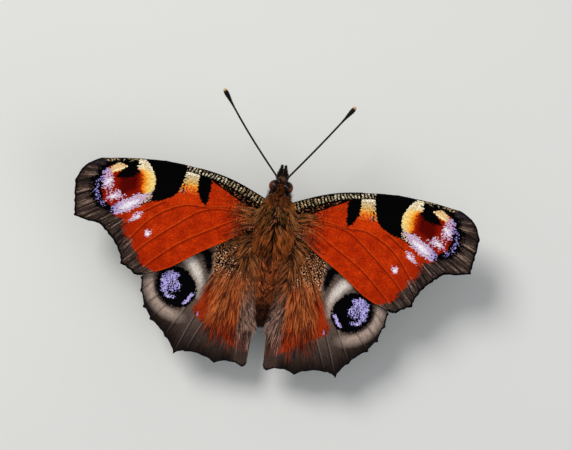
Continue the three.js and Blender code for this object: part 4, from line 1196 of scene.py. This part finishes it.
palpForm = {"stations": [(0.36, 6.0, 7.75, 0.26), (0.45, 6.7, 7.55, 0.28), (0.42, 7.5, 7.95, 0.2),
                         (0.33, 8.15, 8.4, 0.13), (0.25, 8.86, 8.7, 0.05)],
            "hair": {"hairs": 1400, "run": (0, 0.97), "length": 0.5, "width": 0.05, "lift": 0.1, "lean": 0.36,
                     "spread": 0.12}}
tongue = {"y": 6.45, "z": 6.2, "outer": 0.78, "inner": 0.16, "turns": 2.1, "thick": 0.13, "steps": 90}
legForms = {
    "midleg": [(0.9, 0.9, 6.2, 0.34), (1.6, 1.2, 5.3, 0.36), (2.2, 1.5, 4.6, 0.27), (3.5, 2.1, 5.0, 0.29),
               (4.8, 2.7, 5.3, 0.2), (5.0, 2.8, 5.2, 0.17), (5.3, 2.95, 4.6, 0.19), (6.1, 3.4, 1.6, 0.15),
               (6.3, 3.5, 1.0, 0.17), (6.6, 3.65, 0.45, 0.13), (7.0, 3.85, 0.2, 0.12), (7.5, 4.1, 0.17, 0.13),
               (7.9, 4.3, 0.16, 0.1), (8.3, 4.5, 0.16, 0.12), (8.6, 4.65, 0.15, 0.06)],
    "hindleg": [(0.8, -1.7, 6.0, 0.34), (1.4, -2.1, 5.1, 0.36), (1.9, -2.6, 4.4, 0.27),
                (3.2, -3.8, 4.8, 0.29), (4.4, -4.9, 5.0, 0.2), (4.6, -5.1, 4.9, 0.17),
                (4.75, -5.4, 4.4, 0.19), (5.55, -7.5, 1.5, 0.15), (5.7, -7.8, 1.0, 0.17),
                (5.9, -8.2, 0.45, 0.13), (6.1, -8.6, 0.2, 0.12), (6.35, -9.2, 0.17, 0.13),
                (6.5, -9.6, 0.16, 0.1), (6.7, -10.05, 0.16, 0.12), (6.82, -10.3, 0.15, 0.06)],
    "foreleg": [(0.9, 2.4, 6.6, 0.3), (1.15, 3.3, 5.3, 0.3), (1.35, 4.5, 5.45, 0.24), (1.1, 5.5, 6.2, 0.2),
                (0.95, 5.85, 6.5, 0.1)],
}
legFur = {"hairs": 620, "run": (0.02, 0.97), "length": 0.42, "width": 0.05, "lift": 0.06, "lean": 0.25,
          "spread": 0.1}
brushFur = {"hairs": 700, "run": (0.02, 0.97), "length": 0.95, "width": 0.06, "lift": 0.14, "lean": 0.4,
            "spread": 0.14}


def hornLook(name, dark, light, size):
    look, pen, shader = startLook(name, Specular_IOR_Level=0.45)
    place = bodyPlace(pen)
    fine = noise(place, size, 4)
    broad = noise(place, 1.2, 2)
    colour = over(dark, light, ramp(fine + broad, 0.8, 1.25))
    feed(shader, "Base Color", colour)
    feed(shader, "Roughness", fine * 0.3 + 0.3)
    roughen(shader, fine, 0.5, 0.00001)
    return look


def palpColour(place, grain, kind):
    dark = blend((8, 7, 7), (40, 30, 26), grain)
    pale = ramp(place.part(0).calc("ABSOLUTE"), 0.34, 0.14) * ramp(grain, 0.45, 0.8) * ramp(kind, 0.7, 0.4)
    colour = over(dark, tone(196, 172, 166), pale)
    return over(colour, blend((50, 32, 22), (120, 86, 62), grain), ramp(kind, 0.35, 0.1) * 0.8)


def legColour(place, grain, kind):
    colour = blend((30, 21, 17), (108, 78, 52), grain)
    return over(colour, blend((84, 58, 36), (158, 122, 80), grain), ramp(place.part(2), 1.2, 0.5))


palpCoat, legCoat = coatLook("palp_hair", palpColour), coatLook("leg_hair", legColour)
palpHorn = hornLook("palp_skin", tone(16, 11, 10), tone(60, 40, 30), 0.08)
legHorn = hornLook("leg_skin", tone(34, 24, 18), tone(98, 70, 46), 0.08)

palp = tubeAlong(stationsAt(palpForm["stations"], 0.12))
finishPiece(palp, "palp_right_skin", [palpHorn], ["palp_right"])
mirrorCopy(palp, "palp_left_skin", ["palp_left"])
palpHair = together(*[limbHair(palpForm["stations"], palpForm["hair"], sign) for sign in (1, -1)])
palpHair["length"] *= np.interp(palpHair["kind"], [0, 0.35, 0.5, 0.8, 1], [1.5, 1.35, 0.9, 0.45, 0.25])
# the hair of their inner sides meets in the middle
palpX = palpHair["at"][:, 0]
meets = 0.5 * (np.abs(palpX) < 0.42) * (palpHair["kind"] < 0.78) * np.sign(palpX)
palpHair["lie"] = unit(palpHair["lie"] - stacked(meets, 0, 0))
growHair("palp_coat", palpHair, palpCoat)

coil = []
for t in np.linspace(0, 1, tongue["steps"]):
    angle = math.pi * 0.62 - 2 * math.pi * tongue["turns"] * t
    reach = tongue["outer"] + (tongue["inner"] - tongue["outer"]) * t
    y, z = tongue["y"] + reach * math.cos(angle), tongue["z"] + reach * math.sin(angle)
    coil.append((0, y, z, tongue["thick"] * (1 - 0.4 * t)))
coil = [(0, 6.2, 7.35, 0.16), (0, 6.15, 7.1, 0.15), *coil]
tongueHorn = hornLook("tongue_skin", tone(40, 26, 16), tone(112, 78, 44), 0.1)
finishPiece(tubeAlong(coil), "tongue_coil", [tongueHorn], ["proboscis"])

# how far along, out and up a claw's points lie, and its radius there
clawPoints = [(-0.05, 0.03, 0, 0.05), (0.12, 0.1, 0.03, 0.04), (0.24, 0.13, -0.03, 0.025),
              (0.28, 0.12, -0.11, 0.006)]


def addClaws(stations):
    # two curved claws at the foot's end
    before, tip = (Vector(station[:3]) for station in stations[-2:])
    along = (tip - before).normalized()
    side = along.cross(Vector((0, 0, 1))).normalized()
    claws = []
    for way in (-1, 1):
        points = [tip + along * far + side * way * out + Vector((0, 0, rise))
                  for far, out, rise, _ in clawPoints]
        bent = [(*point, spot[3]) for point, spot in zip(points, clawPoints)]
        claws.append(tubeAlong(stationsAt(bent, 0.05), 2))
    return claws


def addSpurs(stations, knee):
    # a pair of spurs at the shin's end
    at = Vector(stations[knee][:3])
    way = (Vector(stations[knee + 1][:3]) - at).normalized()
    spurs = []
    for side in (-1, 1):
        end = at + way * 0.45 + Vector((0.12, 0.12, 0.05)) * side
        points = [(*at, 0.06), (*at.lerp(end, 0.5), 0.045), (*end, 0.006)]
        spurs.append(tubeAlong(stationsAt(points, 0.08), 2))
    return spurs


for leg, stations in legForms.items():
    pieces = [tubeAlong(stationsAt(stations, 0.14))]
    if leg != "foreleg":
        pieces += addClaws(stations) + addSpurs(stations, 8)
    right = finishPiece(joinAll(pieces), leg + "_right_skin", [legHorn], [leg + "_right"])
    mirrorCopy(right, leg + "_left_skin", [leg + "_left"])
legHair = together(*[limbHair(stations, brushFur if leg == "foreleg" else legFur, sign)
                     for leg, stations in legForms.items() for sign in (1, -1)])
# no tip passes through the floor
fall = legHair["lie"] * legHair["length"][:, None] + legHair["normal"] * legHair["lift"][:, None]
growHair("leg_coat", keep(legHair, (legHair["at"] + fall)[:, 2] > 0.06), legCoat)

headFur = {"hairs": 2600, "length": (0.5, 0.35), "width": (0.06, 0.3), "lift": (0.1, 0.4), "tuft": (5, 0.4),
           "fringe": 560}


def makeHeadHair():
    # over the skull between the eyes, leaning back on the crown and forwards on the face
    count = headFur["hairs"]
    angle = drawn.uniform(-math.pi, math.pi, count)
    polar = np.arccos(drawn.uniform(-0.85, 0.98, count))
    ball = stacked(np.sin(polar) * np.sin(angle), np.cos(polar), np.sin(polar) * np.cos(angle))
    at = ball * headForm["radii"] + headForm["place"]
    normal = unit(ball / headForm["radii"])
    forward = stacked(0, np.where(ball[:, 1] > 0.25, 0.7, -0.7), 0.15)
    lie = unit(normal * 0.75 + forward + drawn.normal(0, 0.16, (count, 3)))
    roots = {
        "at": at - normal * 0.06, "normal": normal, "lie": lie, **spreads(headFur, count),
        "unwrap": unwrapAt(angle / (2 * math.pi) + 0.5, polar / math.pi),
        "tint": drawn.uniform(0, 1, count), "kind": np.zeros(count),
    }
    offEye = (np.abs(at[:, :1]) * (1, 0, 0) + at * (0, 1, 1) - eyeForm["place"]) / eyeForm["radii"]
    between = (np.abs(at[:, 0]) < 0.46) | (at[:, 2] < 8.6) | (at[:, 1] < 4.85)
    roots = keep(roots, (np.linalg.norm(offEye, axis=1) > 0.93) & between)
    # a fringe round the rim of each eye
    rim = headFur["fringe"]
    turn = drawn.uniform(-math.pi, math.pi, rim)
    sign = drawn.choice([-1, 1], rim)
    ring = stacked(0, np.cos(turn), np.sin(turn))
    place = np.array(eyeForm["place"]) + ring * 0.9 - (0.28, 0, 0)
    fringe = {
        "at": place * stacked(sign, 1, 1), "normal": ring,
        "lie": unit(ring * 0.9 + stacked(sign * 0.55, 0, 0) + drawn.normal(0, 0.2, (rim, 3))),
        "length": drawn.uniform(0.2, 0.42, rim), "width": drawn.uniform(0.03, 0.05, rim),
        "lift": drawn.uniform(0, 0.05, rim),
        "unwrap": stacked(0.5 + 0.225 * np.cos(turn) * sign, 0.5 + 0.45 * np.sin(turn)),
        "tint": drawn.uniform(0, 1, rim), "kind": np.full(rim, 0.2),
    }
    fringe = keep(fringe, np.sin(turn) < 0.55)
    growHair("head_coat", clumped(together(roots, fringe), headFur), bodyCoat)


makeHeadHair()


def wingHair(wing, fur, sign):
    # hair lies along the veins; the fur's weight gives the chance of a hair at a place
    lines = wingLines(wing, np.linspace(0, 1, fur["cells"] + 1))
    tries = fur["hairs"] * 6
    u, v = drawn.uniform(*fur["across"], tries), drawn.uniform(*fur["along"], tries)
    plan = wingPoint(wing, lines, u, v)
    kept = np.nonzero(drawn.uniform(0, 1, tries) < fur["weight"](plan[:, 0], plan[:, 1]))[0][:fur["hairs"]]
    u, v, plan, n = u[kept], v[kept], plan[kept], len(kept)
    further = wingPoint(wing, lines, u, np.minimum(v + 0.05, 0.999))
    lie = unit(np.column_stack([further - plan, np.zeros(n)]))
    lie = unit(lie + drawn.normal(0, fur["spread"], (n, 3)) * (1, 1, 0.3))
    level, rise = (wingHeight(wing, *(plan + lie[:, :2] * step).T) for step in (0, 0.5))
    lie[:, 2] += (rise - level) / 0.5
    flip = np.array([sign, 1, 1])
    (length, varied), scale = fur["length"], np.interp(v, [0, 0.15, 1], [0.8, 1, 0.8])
    return {
        "at": stacked(*plan.T, level + 0.06) * flip, "normal": np.tile([0.0, 0.0, 1.0], (n, 1)),
        "lie": lie * flip,
        "length": length * (1 + varied * drawn.uniform(-1, 1, n)) * scale,
        "width": fur["width"] * drawn.uniform(0.6, 1.3, n), "lift": fur["lift"] * drawn.uniform(0.3, 1.5, n),
        "tint": drawn.uniform(0, 1, n), "kind": drawn.uniform(0, 1, n), "unwrap": unwrapAt(u / len(lines), v),
    }


def edgeHair(fur, sign):
    # hair of the hindwing's inner edge, which lies inwards and back over the abdomen's flank
    count = fur["hairs"]
    y = drawn.uniform(*fur["run"], count)
    x = innerEdgeX(y) + drawn.uniform(0.05, 1.5, count)
    at = stacked(x, y, wingHeight(hindwing, x, y) + 0.06)
    length = fur["length"] * drawn.uniform(0.65, 1.25, count)
    way = stacked(np.interp(y, [-15, -6], [-0.42, -0.72]), -1, 0)
    tip = at + unit(way + drawn.normal(0, 0.14, (count, 3)) * (1, 1, 0)) * length[:, None]
    middle, wide, high = sectionAt(bodySections, np.maximum(tip[:, 1], -15.2))
    crown = middle + high * np.sqrt(np.maximum(0, 1 - (tip[:, 0] / (wide + 0.35)) ** 2)) + 0.45
    onWing = wingHeight(hindwing, np.maximum(tip[:, 0], 1.6), tip[:, 1]) + 0.25
    tip[:, 2] = np.maximum(onWing, np.minimum(crown, at[:, 2] + 0.75 * length))
    away, flip = tip - at, np.array([sign, 1, 1])
    return {
        "at": at * flip, "normal": np.tile([-0.35, 0.0, 0.94], (count, 1)) * flip, "lie": away * flip,
        "length": np.linalg.norm(away, axis=1), "width": fur["width"] * drawn.uniform(0.6, 1.3, count),
        "lift": fur["lift"] * drawn.uniform(0.3, 1.5, count),
        "tint": drawn.uniform(0, 1, count), "kind": drawn.uniform(0.2, 0.8, count),
        "unwrap": unwrapAt((8.97 - (x - innerEdgeX(y)) * 0.4) / 10, (-y - 4) / 20),
    }


def hindHairColour(place, grain, kind):
    x, y = place.part(0).calc("ABSOLUTE"), place.part(1)
    colour = over(tone(96, 28, 9), blend((226, 124, 62), (186, 62, 20), ramp(y, -13.0, -16.5)), grain)
    tawny = blend((32, 16, 9), (208, 124, 64), grain)
    colour = over(colour, tawny, ramp(y + x * 0.25, -8.5, -4.5))
    pink = blend((56, 40, 34), (196, 152, 132), grain)
    brown = blend((28, 14, 8), (196, 116, 64), grain)
    edge = over(pink, brown, ramp(y + (grain - 0.5) * 2.0, -11.2, -7.6))
    colour = over(colour, edge, ramp(x + (y + 10) * 0.05 + (grain - 0.5) * 0.5, 3.9, 3.1))
    return over(colour, tone(20, 13, 10), kind < 0.14)


def foreHairColour(place, grain, kind):
    x, y = place.part(0).calc("ABSOLUTE"), place.part(1)
    colour = blend((38, 20, 11), (204, 122, 62), grain)
    colour = over(colour, blend((96, 24, 8), (216, 92, 34), grain), ramp(x, 4.0, 6.0))
    colour = over(colour, blend((50, 36, 30), (176, 136, 114), grain), ramp(y + x * 0.62, 1.4, 0.6) * 0.4)
    return over(colour, tone(20, 14, 12), kind < 0.2)


def hindWeight(x, y):
    field = smoothStep(-19.2, -14.5, y) * (1 - smoothStep(5.6, 8.4, x + 0.1 * (y + 11)))
    base = smoothStep(-10.0, -7.4, y) * smoothStep(2.9, 4.2, x)
    return np.clip(field * (1 - 0.93 * base) * smoothStep(2.6, 3.4, x) + 0.1 * (x < 3.4) * (y > -19), 0, 1)


def foreWeight(x, y):
    return (1 - smoothStep(3.2, 7.0, x + 0.25 * y)) * np.where(y < 2.2 - 0.2 * x, 1.0, 0.08)


hindCoat, foreCoat = coatLook("hindwing_hair", hindHairColour), coatLook("forewing_hair", foreHairColour)
hindFur = {"hairs": 2900, "cells": 40, "across": (2.0, 8.97), "along": (0.02, 0.8), "weight": hindWeight,
           "length": (2.8, 0.4), "width": 0.075, "lift": 0.08, "spread": 0.05, "tuft": (3, 0.25)}
edgeFur = {"hairs": 2200, "run": (-15.6, -4.6), "length": 2.0, "width": 0.075, "lift": 0.2}
foreFur = {"hairs": 420, "cells": 40, "across": (2.5, 10.97), "along": (0.01, 0.3), "weight": foreWeight,
           "length": (2.1, 0.4), "width": 0.05, "lift": 0.06, "spread": 0.06, "tuft": (3, 0.5)}
for sign, side in ((1, "right"), (-1, "left")):
    hair = together(wingHair(hindwing, hindFur, sign), edgeHair(edgeFur, sign))
    growHair("hindwing_coat_" + side, clumped(hair, hindFur), hindCoat)
    hair = wingHair(forewing, foreFur, sign)
    growHair("forewing_coat_" + side, clumped(hair, foreFur), foreCoat)
print("wing hair grown")

stageSetup = {
    "floor": 1.2, "distance": 0.241, "lens": 100.0, "elevation": 82.0, "roll": 8.5, "level": 9.8,
    # the size of a pixel, and how many of them the camera is moved aside and up
    "pixel": 0.0867 / 572, "shift": (10.1, -4.4),
    # the place, size, power and colour of each lamp
    "lamps": {"key": ((-0.35, 0.3, 0.55), 0.35, 3.7, (1.0, 0.98, 0.95)),
              "fill": ((0.5, -0.25, 0.4), 0.5, 0.9, (0.95, 0.98, 1.0))},
    "air": ((0.92, 0.95, 1.0, 1), 0.4),
}


def floorLook():
    look, pen, shader = startLook("pale_floor", Roughness=0.85, Specular_IOR_Level=0.2)
    cloud = noise(pen.node("TexCoord", {}, {}, 3), 1 / 9, 3.0)
    feed(shader, "Base Color", blend((226, 226, 222), (216, 216, 213), cloud))
    return look


pick(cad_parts["head"])
bpy.ops.mesh.primitive_plane_add(size=stageSetup["floor"], location=(0, 0, 0))
floor = bpy.context.object
floor.name = "floor"
floor.data.materials.append(floorLook())
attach(floor, "root")


def addLight(name, place, size, power, colour):
    lamp = bpy.data.lights.new(name, "AREA")
    lamp.shape, lamp.size, lamp.energy, lamp.color = "DISK", size, power, colour
    holder = bpy.data.objects.new(name, lamp)
    bpy.context.collection.objects.link(holder)
    holder.location = place
    holder.rotation_mode = "QUATERNION"
    holder.rotation_quaternion = (-Vector(place)).to_track_quat("-Z", "Y")


for name, lamp in stageSetup["lamps"].items():
    addLight(name, *lamp)
world = bpy.data.worlds.new("studio")
bpy.context.scene.world = world
world.use_nodes = True
air = world.node_tree.nodes["Background"]
air.inputs[0].default_value, air.inputs[1].default_value = stageSetup["air"]
bpy.context.scene.view_settings.view_transform = "Standard"

bpy.ops.object.camera_add()
camera = bpy.context.object
camera.data.lens = stageSetup["lens"]
camera.data.clip_start, camera.data.clip_end = 0.01, 5
tilt = math.radians(stageSetup["elevation"])
back = Vector((0, -math.cos(tilt), math.sin(tilt)))
roll = Matrix.Rotation(math.radians(stageSetup["roll"]), 3, "Z")
turn = (-back).to_track_quat("-Z", "Y").to_matrix() @ roll
middle = Vector((0, ahead * mm, stageSetup["level"] * mm))
offset = turn @ Vector((*stageSetup["shift"], 0)) * stageSetup["pixel"]
camera.matrix_world = Matrix.Translation(middle + offset + back * stageSetup["distance"]) @ turn.to_4x4()
bpy.context.scene.camera = camera
print("stage set")
